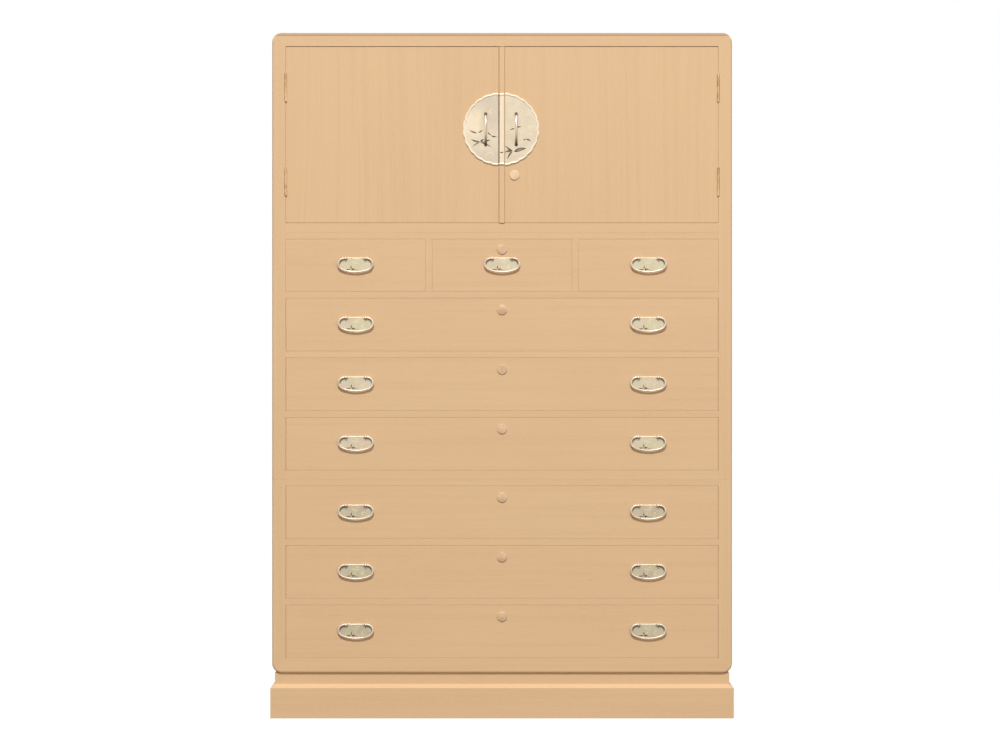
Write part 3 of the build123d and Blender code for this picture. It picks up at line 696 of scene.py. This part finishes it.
# the last number of each is the strength of the painted shade in the bails' corners
drawerPlates = {
    "upper": {"look": "champagne", "green": 0.7, "tarnish": 0.7},
    "lower": {"look": "lowerPlate", "green": 0.4, "tarnish": 0.8},
}
for name in drawers:
    plate = drawerPlates["lower" if name.startswith("lower") else "upper"]
    corners = [(cornerPaintedShade(name, plate["tarnish"]), metals["darkLeaf"]["face"])]
    finish = plateMetal(
        name + "Plates", plate["look"], "wire", postsInFront, plate["green"], corners
    )
    dress(name + "_fittings", finish)
for side in ("left", "right"):
    dress(f"{side}_door_round_plate", roundPlates)
    dress(f"{side}_door_hinge_leaves", hingeMetal)
    dress(f"{side}_door_pull", silver)
dress("case_hinge_leaves", hingeMetal)
print("metals done")

# making pieces
upright = Matrix.Rotation(math.radians(90), 4, "X")  # lays a flat shape on the chest's front


def placePiece(bm, name, body, material, replaced=(), sharp=38):
    bmesh.ops.remove_doubles(bm, verts=bm.verts, dist=1e-6)
    bmesh.ops.recalc_face_normals(bm, faces=bm.faces)
    for face in bm.faces:
        face.smooth = True
    for edge in bm.edges:
        edge.smooth = edge.calc_face_angle(0.0) < math.radians(sharp)
    mesh = bpy.data.meshes.new(name)
    bm.to_mesh(mesh)
    bm.free()
    piece = stand(name, mesh)
    mesh.materials.append(material)
    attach(piece, body)
    if replaced:
        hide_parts(*replaced)


def camel(name):
    first, *rest = name.split("_")
    return first + "".join(word.capitalize() for word in rest)


def stamp(bm, template, place):  # adds a copy of a finished shape
    before = len(bm.verts)
    bm.from_mesh(template)
    bm.verts.ensure_lookup_table()
    bmesh.ops.transform(bm, matrix=place, verts=bm.verts[before:])


def templateMesh(bm, name):
    bmesh.ops.remove_doubles(bm, verts=bm.verts, dist=1e-7)
    bmesh.ops.recalc_face_normals(bm, faces=bm.faces)
    mesh = bpy.data.meshes.new(name)
    bm.to_mesh(mesh)
    bm.free()
    return mesh


def turned(profile, steps, name):  # radius and height pairs, turned about Z
    bm = bmesh.new()
    rims = [bm.verts.new((radius, 0, height)) for radius, height in profile]
    for first, second in zip(rims, rims[1:]):
        bm.edges.new((first, second))
    bmesh.ops.spin(
        bm,
        geom=bm.verts[:] + bm.edges[:],
        cent=(0, 0, 0),
        axis=(0, 0, 1),
        angle=math.tau,
        steps=steps,
        use_merge=True,
    )
    return templateMesh(bm, name)


def tube(bm, stations, sides, normal):
    # stations: centre, direction, half width in the path's plane, half width along normal
    def ringPlace(centre, direction, wide, thick):
        inPlane = direction.cross(normal).normalized()
        columns = (inPlane * wide, normal * thick, direction, centre)
        place = Matrix.Identity(4)
        for index, column in enumerate(columns):
            for row in range(3):
                place[row][index] = column[row]
        return place

    last = ringPlace(*stations[0])
    made = bmesh.ops.create_circle(bm, cap_ends=True, radius=1, segments=sides, matrix=last)
    ring = set(made["verts"])
    edges = [edge for edge in bm.edges if edge.verts[0] in ring and edge.verts[1] in ring]
    for station in stations[1:]:
        new = bmesh.ops.extrude_edge_only(bm, edges=edges)["geom"]
        place = ringPlace(*station)
        verts = [item for item in new if isinstance(item, bmesh.types.BMVert)]
        bmesh.ops.transform(bm, matrix=place @ last.inverted(), verts=verts)
        ring = set(verts)
        edges = [
            item
            for item in new
            if isinstance(item, bmesh.types.BMEdge)
            and item.verts[0] in ring
            and item.verts[1] in ring
        ]
        last = place
    bmesh.ops.edgeloop_fill(bm, edges=edges)


flatBack = Vector((0, 1, 0))
roundedEnd = {"length": 0.5, "width": 0.55}  # shares of the tube's own half thickness


def closedTube(bm, points, wide, thick, sides):  # a tube with rounded ends
    stations = []
    for index, point in enumerate(points):
        before = points[max(index - 1, 0)]
        after = points[min(index + 1, len(points) - 1)]
        stations.append((point, (after - before).normalized(), wide, thick))
    length = thick * roundedEnd["length"]
    width = roundedEnd["width"]
    first, last = stations[0], stations[-1]
    nose = (first[0] - first[1] * length, first[1], wide * width, thick * width)
    tail = (last[0] + last[1] * length, last[1], wide * width, thick * width)
    tube(bm, [nose] + stations + [tail], sides, flatBack)


# bails of the drawers
def bailTemplate():
    corner = bail["cornerRadius"]
    bow = bail["bowRadius"]
    endX = bail["endX"]
    lean = math.asin(endX / (bow - corner))
    bowZ = -corner + (bow - corner) * math.cos(lean)
    stations = []

    def station(x, z, angle, wire):
        direction = Vector((math.cos(angle), 0, math.sin(angle)))
        stations.append((Vector((x, 0, z)), direction, wire, wire))

    thick = bail["thickWire"]
    thin = bail["thinWire"]
    start = bail["endWire"]
    inner = endX - bail["postSpacing"] / 2 + bail["pinReach"]
    station(-endX + inner, 0, math.pi, bail["pin"])
    station(-endX + bail["shoulderStart"], 0, math.pi, bail["pin"])
    station(-endX + bail["shoulderEnd"], 0, math.pi, start * bail["shoulderShare"])
    station(-endX - bail["shoulderEnd"], 0, math.pi, start)
    for step in range(1, bail["cornerSteps"] + 1):  # over the left corner and down
        share = step / bail["cornerSteps"]
        turn = share * (math.pi - lean)
        angle = math.pi / 2 + turn
        x = -endX + corner * math.cos(angle)
        z = -corner + corner * math.sin(angle)
        wire = start + (thick - start) * math.sin(math.pi * share)
        if share >= 0.5:
            wire = thick - (thick - thin) * (share - 0.5) * bail["taper"]
        station(x, z, angle + math.pi / 2, wire)
    edge = stations[-1][2]
    for step in range(1, bail["bowSteps"] + 1):
        share = step / bail["bowSteps"]
        angle = -math.pi / 2 - lean + 2 * lean * share
        middle = 1 - abs(2 * share - 1)
        wire = edge - (edge - thin) * math.sin(middle * math.pi / 2)
        station(bow * math.cos(angle), bowZ + bow * math.sin(angle), angle + math.pi / 2, wire)
    # the right side is the left one in a mirror, passed the other way
    for centre, direction, wide, thick in reversed(stations[: 3 + bail["cornerSteps"]]):
        mirrored = Vector((-centre.x, 0, centre.z))
        onward = Vector((direction.x, 0, -direction.z))
        stations.append((mirrored, onward, wide, thick))
    bm = bmesh.new()
    tube(bm, stations, bail["sides"], flatBack)
    return templateMesh(bm, "bailTemplate")


bailMesh = bailTemplate()
for name in bailNames:
    bm = bmesh.new()
    stamp(bm, bailMesh, Matrix.Translation(bailAxis(name)))
    placePiece(bm, camel(name) + "Wire", name, wireSilver, (name,))
print("bails done:", len(bailNames))

# keyhole covers
cover = {
    "steps": 40,
    "profile": [
        (0, 0), (11.3, 0), (12, 0.5), (12, 1.3), (11.7, 1.75), (11.1, 1.95),
        (10.5, 1.85), (10.0, 1.9), (7.0, 2.15), (3.5, 2.32), (0, 2.38),
    ],
}
coverMesh = turned(
    [(millimetres(radius), millimetres(height)) for radius, height in cover["profile"]],
    cover["steps"],
    "coverTemplate",
)
coverNames = [name for name in nodes if name.endswith("_key_cover")]
for name in sorted(coverNames):
    low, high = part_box(name)
    centre = Vector(((low.x + high.x) / 2, high.y, (low.z + high.z) / 2))
    bm = bmesh.new()
    stamp(bm, coverMesh, Matrix.Translation(centre) @ upright)
    finish = doorCover if name.startswith("right_door") else bronze
    placePiece(bm, camel(name) + "Disc", name, finish, (name,))
print("keyhole covers done:", len(coverNames))

# bamboo leaves on the plates
bamboo = {
    "segments": 8,
    "height": millimetres(0.22),
    "sink": millimetres(0.05),  # into the plate
    "darkWidth": 1.25,
    "middleRise": 0.6,  # of a leaf's grey middle over the leaf, in leaf heights
    "belly": 0.75,  # under 1 brings the widest place nearer the root
    "fullness": 0.85,
    "edgeHeight": 0.4,
    "depth": 0.2,
}


def leafTemplate():
    bm = bmesh.new()
    bmesh.ops.create_grid(bm, x_segments=bamboo["segments"], y_segments=2, size=0.5)
    for vert in bm.verts:
        along = vert.co.x + 0.5
        spread = 0
        if 0 < along < 1:
            spread = math.sin(math.pi * along ** bamboo["belly"]) ** bamboo["fullness"]
        crown = (1 - abs(vert.co.y) * 2) * spread
        height = bamboo["edgeHeight"] + (1 - bamboo["edgeHeight"]) * crown
        vert.co = Vector((along, vert.co.y * spread, height))
    bmesh.ops.remove_doubles(bm, verts=bm.verts, dist=1e-4)
    made = bmesh.ops.extrude_face_region(bm, geom=bm.faces[:])
    lower = [item for item in made["geom"] if isinstance(item, bmesh.types.BMVert)]
    for vert in lower:
        vert.co.z = -bamboo["depth"]
    return templateMesh(bm, "leafTemplate")


leafMesh = leafTemplate()


def leaf(bm, origin, plateY, root, tip, width, bend):
    # root and tip are sideways and upward distances in millimetres from origin
    start = Vector((millimetres(root[0]), millimetres(root[1])))
    reach = Vector((millimetres(tip[0]), millimetres(tip[1]))) - start
    turn = Matrix.Rotation(math.atan2(reach.y, reach.x), 4, "Z")
    size = Matrix.Diagonal((reach.length, millimetres(width), bamboo["height"], 1))
    flat = Matrix.Translation((start.x, start.y, 0)) @ turn @ size
    before = len(bm.verts)
    bm.from_mesh(leafMesh)
    bm.verts.ensure_lookup_table()
    new = bm.verts[before:]
    for vert in new:
        vert.co.y += bend * math.sin(math.pi * vert.co.x)
    place = Matrix.Translation((origin[0], plateY, origin[1])) @ upright @ flat
    bmesh.ops.transform(bm, matrix=place, verts=new)


pullSpray = [  # root, tip, width and bend of each leaf, from the middle of a bail's axis
    ((-10.9, -25.6), (-10.9, -17.0), 2.6, 0.0),
    ((-11.5, -25.9), (-25.0, -26.8), 2.2, 0.3),
    ((-12.0, -26.4), (-20.0, -28.6), 1.8, -0.2),
    ((-10.2, -26.0), (-0.8, -26.8), 2.6, 0.3),
    ((-10.0, -26.4), (-4.5, -28.8), 1.8, -0.2),
    ((-9.0, -27.0), (10.0, -28.4), 0.9, -0.2),
]
pullRelief = [
    ((-2.0, -24.0), (-1.2, -14.0), 1.2, 0.1),
    ((-1.2, -14.0), (-0.6, -5.0), 1.1, 0.1),
    ((-1.4, -14.4), (9.5, -10.2), 2.4, 0.3),
    ((-0.8, -13.0), (-12.0, -8.4), 2.4, -0.3),
    ((-0.8, -8.0), (10.5, -3.8), 2.2, 0.3),
    ((12.0, -20.0), (22.5, -15.5), 2.4, 0.3),
    ((12.0, -20.2), (20.5, -24.0), 2.2, -0.3),
]
rolledEdgeHighlight = {
    "line": [(-19.5, 0.9), (-10, 0.5), (0, 0.35), (10, 0.5), (19.5, 0.9)],
    "wide": millimetres(1.0),
    "thick": millimetres(0.6),
    "sides": 10,
}
for name in drawers:
    bails = [bailName for bailName in bailNames if bailName.startswith(name)]
    face = drawerFront - pullPlate["thickness"] + bamboo["sink"]
    for label, spray, material in (
        ("DarkLeaves", pullSpray, darkLeaf),
        ("ReliefLeaves", pullRelief, gold),
    ):
        bm = bmesh.new()
        for bailName in bails:
            axis = bailAxis(bailName)
            for root, tip, width, bend in spray:
                leaf(bm, (axis.x, axis.z), face, root, tip, width, bend)
        placePiece(bm, camel(name) + label, name, material)
    bm = bmesh.new()
    for bailName in bails:  # rolled upper edge of the plate, between the posts; its pale cream finish is a painted highlight of that edge
        axis = bailAxis(bailName)
        points = [
            Vector((axis.x + millimetres(x), face, axis.z + millimetres(z)))
            for x, z in rolledEdgeHighlight["line"]
        ]
        closedTube(bm, points, rolledEdgeHighlight["wide"], rolledEdgeHighlight["thick"], rolledEdgeHighlight["sides"])
    placePiece(bm, camel(name) + "PlateEdge", name, cream)
print("leaves and edges of the drawer plates done")

# the round plate of the doors
moon = {
    "lobe": millimetres(88.2),
    "cusp": millimetres(86.4),
    "spread": millimetres(4.5),  # from the plate's middle to the middle of either arc
    "lobes": 24,
    "step": math.radians(1.25),
    "inset": millimetres(2.1),  # of the bead's middle from the scalloped edge
    "beadWide": millimetres(2.05),
    "beadThick": millimetres(0.9),
    "beadEnd": millimetres(0.6),
    "beadSink": millimetres(0.2),  # into the rim
    "sides": 10,
}
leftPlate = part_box("left_door_round_plate")
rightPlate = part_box("right_door_round_plate")
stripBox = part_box("meeting_strip")
stripRound = millimetres(2.4)  # its long edge on the right door
moonX = (leftPlate[0].x + rightPlate[1].x) / 2
moonZ = sum(corner.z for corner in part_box("left_door_pull")) / 2


def edgeAngle(x, middle):  # where the bead's middle line passes x, on the upper half
    return math.acos((x - middle) / (moon["cusp"] - moon["inset"]))


def scallopRun(middle, start, end, y):
    points = []
    steps = max(2, round(abs(end - start) / moon["step"]))
    for step in range(steps + 1):
        angle = start + (end - start) * step / steps
        swell = abs(math.sin(math.pi * moon["lobes"] * (0.25 - angle / math.tau)))
        radius = moon["cusp"] + (moon["lobe"] - moon["cusp"]) * swell - moon["inset"]
        x = middle + radius * math.cos(angle)
        points.append(Vector((x, y, moonZ + radius * math.sin(angle))))
    return points


def rimTop(face):
    return face - roundPlate["thickness"] - roundPlate["rimHeight"] + moon["beadSink"]


leftMiddle = moonX - moon["spread"]
rightMiddle = moonX + moon["spread"]
leftEnd = edgeAngle(leftPlate[1].x - roundPlate["setback"] - moon["beadEnd"], leftMiddle)
rightEnd = edgeAngle(stripBox[1].x + moon["beadEnd"], rightMiddle)
stripRun = [
    stripBox[0].x + roundPlate["setback"] + moon["beadEnd"],
    stripBox[1].x - stripRound - moon["beadEnd"],
]
beads = {
    "left": [scallopRun(leftMiddle, leftEnd, math.tau - leftEnd, rimTop(doorFront))],
    "right": [scallopRun(rightMiddle, -rightEnd, rightEnd, rimTop(doorFront))],
}
for end in (-1, 1):
    z = moonZ + end * (moon["cusp"] - moon["inset"])
    middle = sum(stripRun) / 2
    line = [Vector((x, rimTop(stripFront), z)) for x in (stripRun[0], middle, stripRun[1])]
    beads["right"].append(line)
for side, lines in beads.items():
    bm = bmesh.new()
    for points in lines:
        closedTube(bm, points, moon["beadWide"], moon["beadThick"], moon["sides"])
    placePiece(bm, side + "DoorPlateBead", side + "_door", cream)

moonDark = {  # root, tip, width and bend of each leaf, from the middle of the plate
    "left": [
        ((-58.3, -9.6), (-77.3, -1.6), 2.8, 0.3),
        ((-55.3, -8.0), (-44.3, -0.6), 2.4, -0.4),
        ((-32.3, -6.8), (-22.3, -16.0), 2.0, -0.3),
        ((-23.3, -15.4), (-10.5, -17.6), 2.6, -0.5),
        ((-51.3, -30.6), (-74.3, -24.0), 3.0, 0.4),
        ((-51.3, -31.0), (-69.3, -42.0), 2.0, -0.3),
        ((-50.3, -30.0), (-38.3, -37.0), 4.2, 0.2),
        ((-49.9, -29.6), (-41.3, -24.6), 3.0, 0.2),
        ((-35.3, -28.6), (-25.3, -26.6), 2.4, 0.3),
        ((-34.3, -36.0), (-23.9, -42.4), 1.8, -0.3),
    ],
    "right": [
        ((33.1, 2.8), (21.3, -0.8), 2.2, 0.3),
        ((38.5, 4.2), (48.9, 6.4), 2.6, 0.2),
        ((60.5, -23.8), (73.3, -29.4), 2.8, 0.3),
        ((60.3, -23.8), (53.9, -27.6), 2.2, -0.3),
        ((27.9, -52.6), (9.5, -39.4), 3.2, 0.3),
        ((27.5, -53.0), (8.7, -56.4), 3.6, -0.4),
        ((27.9, -53.6), (15.5, -73.0), 3.4, -0.4),
        ((31.9, -54.6), (61.9, -46.6), 6.6, 0.2),
    ],
}
moonGold = {
    "left": [
        ((-58.3, 35.0), (-70.3, 42.0), 3.0, 0.3),
        ((-58.3, 34.0), (-69.3, 28.0), 2.6, -0.3),
        ((-50.3, 10.0), (-69.3, 19.6), 2.8, 0.3),
        ((-52.3, -5.0), (-42.3, 13.0), 1.6, 0.1),
        ((-62.3, 53.0), (-56.3, 65.0), 2.6, 0.3),
        ((-62.3, 52.0), (-74.3, 56.0), 2.4, 0.3),
        ((-30.3, 41.0), (-20.3, 53.0), 2.6, -0.3),
        ((-30.3, 40.0), (-18.3, 37.0), 2.4, 0.3),
        ((-26.3, -55.0), (-40.3, -63.0), 3.0, 0.3),
        ((-25.3, -54.0), (-14.3, -65.0), 3.0, -0.3),
    ],
    "right": [
        ((63.9, 3.0), (80.9, 8.0), 3.0, 0.3),
        ((63.9, 2.0), (77.9, -5.0), 2.6, -0.3),
        ((67.9, -11.0), (85.9, -15.0), 2.8, 0.3),
        ((19.9, 31.0), (29.9, 36.0), 2.6, 0.3),
        ((19.9, 30.0), (31.9, 25.0), 2.4, -0.3),
        ((51.9, 33.0), (67.9, 35.0), 3.0, 0.3),
        ((15.9, -23.0), (21.9, -13.0), 2.4, 0.3),
        ((15.9, -24.0), (25.9, -28.0), 2.4, -0.3),
        ((45.9, -7.0), (51.9, -23.0), 1.4, 0.2),
        ((37.9, 55.0), (49.9, 63.0), 2.8, 0.3),
    ],
}
moonMiddles = {
    "left": [((-50.0, -29.4), (-41.6, -35.0), 1.8, 0.1)],
    "right": [((36.5, -53.0), (56.5, -47.8), 3.0, 0.2), ((24.0, -55.2), (14.0, -56.2), 1.4, -0.3)],
}
moonStrip = ((6.4, -56.0), (-3.8, -57.0), 3.0, 0.2)
level = doorFront - roundPlate["thickness"] + bamboo["sink"]
raised = level - bamboo["height"] * bamboo["middleRise"]
for side in beads:
    for label, sprays, material, at, widening in (
        ("PlateDarkLeaves", moonDark, darkLeaf, level, bamboo["darkWidth"]),
        ("PlateGoldLeaves", moonGold, gold, level, 1),
        ("PlateLeafMiddles", moonMiddles, leafMiddle, raised, 1),
    ):
        bm = bmesh.new()
        for root, tip, width, bend in sprays[side]:
            leaf(bm, (moonX, moonZ), at, root, tip, width * widening, bend)
        placePiece(bm, side + "Door" + label, side + "_door", material)
bm = bmesh.new()
level = stripFront - roundPlate["thickness"] + bamboo["sink"]
leaf(bm, (moonX, moonZ), level, *moonStrip)
placePiece(bm, "meetingStripLeaf", "right_door", darkLeaf)
print("round plate done")

# bow pulls of the doors
bow = {
    "footInset": millimetres(4),
    "footRadius": millimetres(3.95),
    "footHeight": millimetres(3.4),
    "footProfile": [(0, 0), (1, 0), (1, 0.35), (0.8, 0.5), (0.62, 1), (0, 1.1)],  # shares
    "footSteps": 24,
    "footLift": 0.6,  # share of the foot's height where the bar meets it
    "rise": millimetres(16.4),  # of the bar's middle line off the plate
    "endWide": millimetres(3.6),
    "middleWide": millimetres(2.2),
    "endThick": millimetres(2.0),
    "middleThick": millimetres(2.4),
    "overrun": 1.06,  # how far the bar runs past its feet
    "noseLength": millimetres(0.8),
    "noseShare": 0.5,
    "steps": 26,
    "sides": 16,
    "screwProfile": [(0, 0), (4, 0), (3.9, 0.9), (3.0, 1.7), (0, 1.95)],  # millimetres
    "screwSteps": 28,
}
footMesh = turned(
    [(bow["footRadius"] * wide, bow["footHeight"] * high) for wide, high in bow["footProfile"]],
    bow["footSteps"],
    "footTemplate",
)
screwMesh = turned(
    [(millimetres(radius), millimetres(height)) for radius, height in bow["screwProfile"]],
    bow["screwSteps"],
    "screwTemplate",
)


def bowPull(side):
    low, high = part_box(side + "_door_pull")
    x = (low.x + high.x) / 2
    plateY = doorFront - roundPlate["thickness"]
    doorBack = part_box(side + "_door")[1].y
    half = (high.z - low.z) / 2 - bow["footInset"]
    lift = bow["footHeight"] * bow["footLift"]
    sagitta = bow["rise"] - lift
    radius = (half**2 + sagitta**2) / (2 * sagitta)
    reach = math.asin(half / radius)
    stations = []
    for step in range(bow["steps"] + 1):
        share = 2 * step / bow["steps"] - 1
        angle = share * reach * bow["overrun"]
        middle = 1 - share**2
        y = plateY - lift - sagitta + radius * (1 - math.cos(angle))
        place = Vector((x, y, moonZ + radius * math.sin(angle)))
        direction = Vector((0, math.sin(angle), math.cos(angle)))
        wide = bow["endWide"] + (bow["middleWide"] - bow["endWide"]) * middle
        thick = bow["endThick"] + (bow["middleThick"] - bow["endThick"]) * middle
        stations.append((place, direction, thick, wide))
    first, last = stations[0], stations[-1]
    length = bow["noseLength"]
    width = bow["noseShare"]
    nose = (first[0] - first[1] * length, first[1], first[2] * width, first[3] * width)
    tail = (last[0] + last[1] * length, last[1], last[2] * width, last[3] * width)
    bm = bmesh.new()
    tube(bm, [nose] + stations + [tail], bow["sides"], Vector((1, 0, 0)))
    placePiece(
        bm, side + "DoorPullBar", side + "_door", barSilver, (side + "_door_pull",)
    )
    feet = bmesh.new()
    screws = bmesh.new()
    backwards = Matrix.Rotation(math.radians(-90), 4, "X")
    for end in (-1, 1):
        z = moonZ + end * half
        stamp(feet, footMesh, Matrix.Translation((x, plateY, z)) @ upright)
        stamp(screws, screwMesh, Matrix.Translation((x, doorBack, z)) @ backwards)
    placePiece(feet, side + "DoorPullFeet", side + "_door", darkLeaf)
    placePiece(screws, side + "DoorPullScrews", side + "_door", hingeMetal)


low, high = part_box("left_door_pull")
barSilver = pullSilver("barSilver", moonZ, (high.z - low.z) / 2)
bowPull("left")
bowPull("right")
print("bow pulls done")

# screws of the hinges
hinge = {
    "height": millimetres(67),
    "barrel": millimetres(2.6),
    "leafMiddle": millimetres(13.3),  # behind the barrel's axis
    "gap": millimetres(0.4),
    "screwRadius": millimetres(2.6),
    "screwProud": millimetres(0.1),
    "screwProfile": [(0, 0), (1, 0), (0.9, 0.8), (0.5, 1), (0, 1)],  # shares
    "screwSteps": 20,
    "screwSpacing": millimetres(23),
}
hingeScrewMesh = turned(
    [
        (hinge["screwRadius"] * wide, hinge["screwProud"] * high)
        for wide, high in hinge["screwProfile"]
    ],
    hinge["screwSteps"],
    "hingeScrewTemplate",
)
for side, sign in (("left", -1), ("right", 1)):
    low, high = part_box(side + "_door_hinge_leaves")
    axis = Vector(((low.x + high.x) / 2, low.y + hinge["barrel"], 0))
    levels = (low.z + hinge["height"] / 2, high.z - hinge["height"] / 2)
    for label, body, facing in (("Door", side + "_door", 1), ("Case", "case", -1)):
        bm = bmesh.new()
        x = axis.x - facing * sign * hinge["gap"] / 2
        turn = Matrix.Rotation(math.radians(90 * facing * sign), 4, "Y")
        for level in levels:
            for count in (-1, 0, 1):
                z = level + count * hinge["screwSpacing"]
                place = Matrix.Translation((x, axis.y + hinge["leafMiddle"], z)) @ turn
                stamp(bm, hingeScrewMesh, place)
        name = side + "Hinge" + label + "Screws"
        placePiece(bm, name, body, screwMetal)
print("hinge screws done")

# stage, light and camera
view = {
    "imageWidth": 1000,
    "metresPerPixel": 0.0024348,  # at the front of the case
    "clipEnd": 100,
    "lens": 100,
    "sensor": 36,
    "centreX": -0.0050,
    "centreZ": 0.8478,
    "frontY": -0.22,
}
studio = {
    "floorSize": 30,
    "keyPlace": (-0.8, -13.0, 15.0),
    "keySize": 2.6,
    "keyPower": 2810,
    "fillPlace": (5.5, -7.5, 2.6),
    "fillSize": 3.0,
    "fillPower": 70,
    "worldStrength": 0.36,
    "skyColour": (1, 0.99, 0.975, 1),
    "floorColour": (0.28, 0.27, 0.26, 1),
    "floorDrop": 0.0005,  # so that the plinth's underside isn't in the same plane
    "aim": (0, -0.22, 0.95),
    "glow": 1.225,  # what the camera sees of the floor, so that it comes out white
    "glowShare": 0.80,
}


def areaLamp(name, place, size, power):
    data = bpy.data.lights.new(name, "AREA")
    data.shape = "DISK"
    data.size = size
    data.energy = power
    lamp = stand(name, data)
    lamp.location = place
    direction = Vector(studio["aim"]) - Vector(place)
    lamp.rotation_euler = direction.to_track_quat("-Z", "Y").to_euler()


areaLamp("keyLamp", studio["keyPlace"], studio["keySize"], studio["keyPower"])
areaLamp("fillLamp", studio["fillPlace"], studio["fillSize"], studio["fillPower"])

world = bpy.data.worlds.new("studioWorld")
bpy.context.scene.world = world
world.use_nodes = True
world.node_tree.nodes.clear()
sky = Wire(world.node_tree)
rayKinds = world.node_tree.nodes.new("ShaderNodeLightPath")
isCamera = Wire(world.node_tree, rayKinds.outputs["Is Camera Ray"])
isGlossy = Wire(world.node_tree, rayKinds.outputs["Is Glossy Ray"])
soft = sky.add(
    "ShaderNodeBackground",
    None,
    {"Color": studio["skyColour"], "Strength": studio["worldStrength"]},
)
white = sky.add("ShaderNodeBackground", None, {"Color": (1, 1, 1, 1), "Strength": 1.0})
seen = sky.add("ShaderNodeMixShader", None, {0: isGlossy, 1: soft, 2: white})
seen = sky.add("ShaderNodeMixShader", None, {0: isCamera, 1: seen, 2: white})
sky.add("ShaderNodeOutputWorld", None, {"Surface": seen})

floorShape = bmesh.new()
bmesh.ops.create_grid(floorShape, x_segments=1, y_segments=1, size=studio["floorSize"] / 2)
floorMesh = bpy.data.meshes.new("studioFloor")
floorShape.to_mesh(floorMesh)
floorShape.free()
floor = stand("studioFloor", floorMesh)
floor.location.z = -studio["floorDrop"]
floorPaint, wire = freshMaterial("studioFloorPaint")
rayKinds = floorPaint.node_tree.nodes.new("ShaderNodeLightPath")
isCamera = Wire(floorPaint.node_tree, rayKinds.outputs["Is Camera Ray"])
dull = wire.add("ShaderNodeBsdfDiffuse", None, {"Color": studio["floorColour"]})
glow = wire.add("ShaderNodeEmission", None, {"Color": (1, 1, 1, 1), "Strength": studio["glow"]})
mixed = wire.add(
    "ShaderNodeMixShader", None, {0: isCamera * studio["glowShare"], 1: dull, 2: glow}
)
wire.add("ShaderNodeOutputMaterial", None, {"Surface": mixed})
floorMesh.materials.append(floorPaint)

cameraData = bpy.data.cameras.new("camera")
cameraData.lens = view["lens"]
cameraData.sensor_width = view["sensor"]
camera = stand("camera", cameraData)
distance = view["imageWidth"] * view["metresPerPixel"] * view["lens"] / view["sensor"]
camera.location = (view["centreX"], view["frontY"] - distance, view["centreZ"])
camera.rotation_euler = (math.radians(90), 0, 0)
cameraData.clip_end = view["clipEnd"]
bpy.context.scene.camera = camera

bpy.context.scene.view_settings.view_transform = "Standard"

print("scene done")
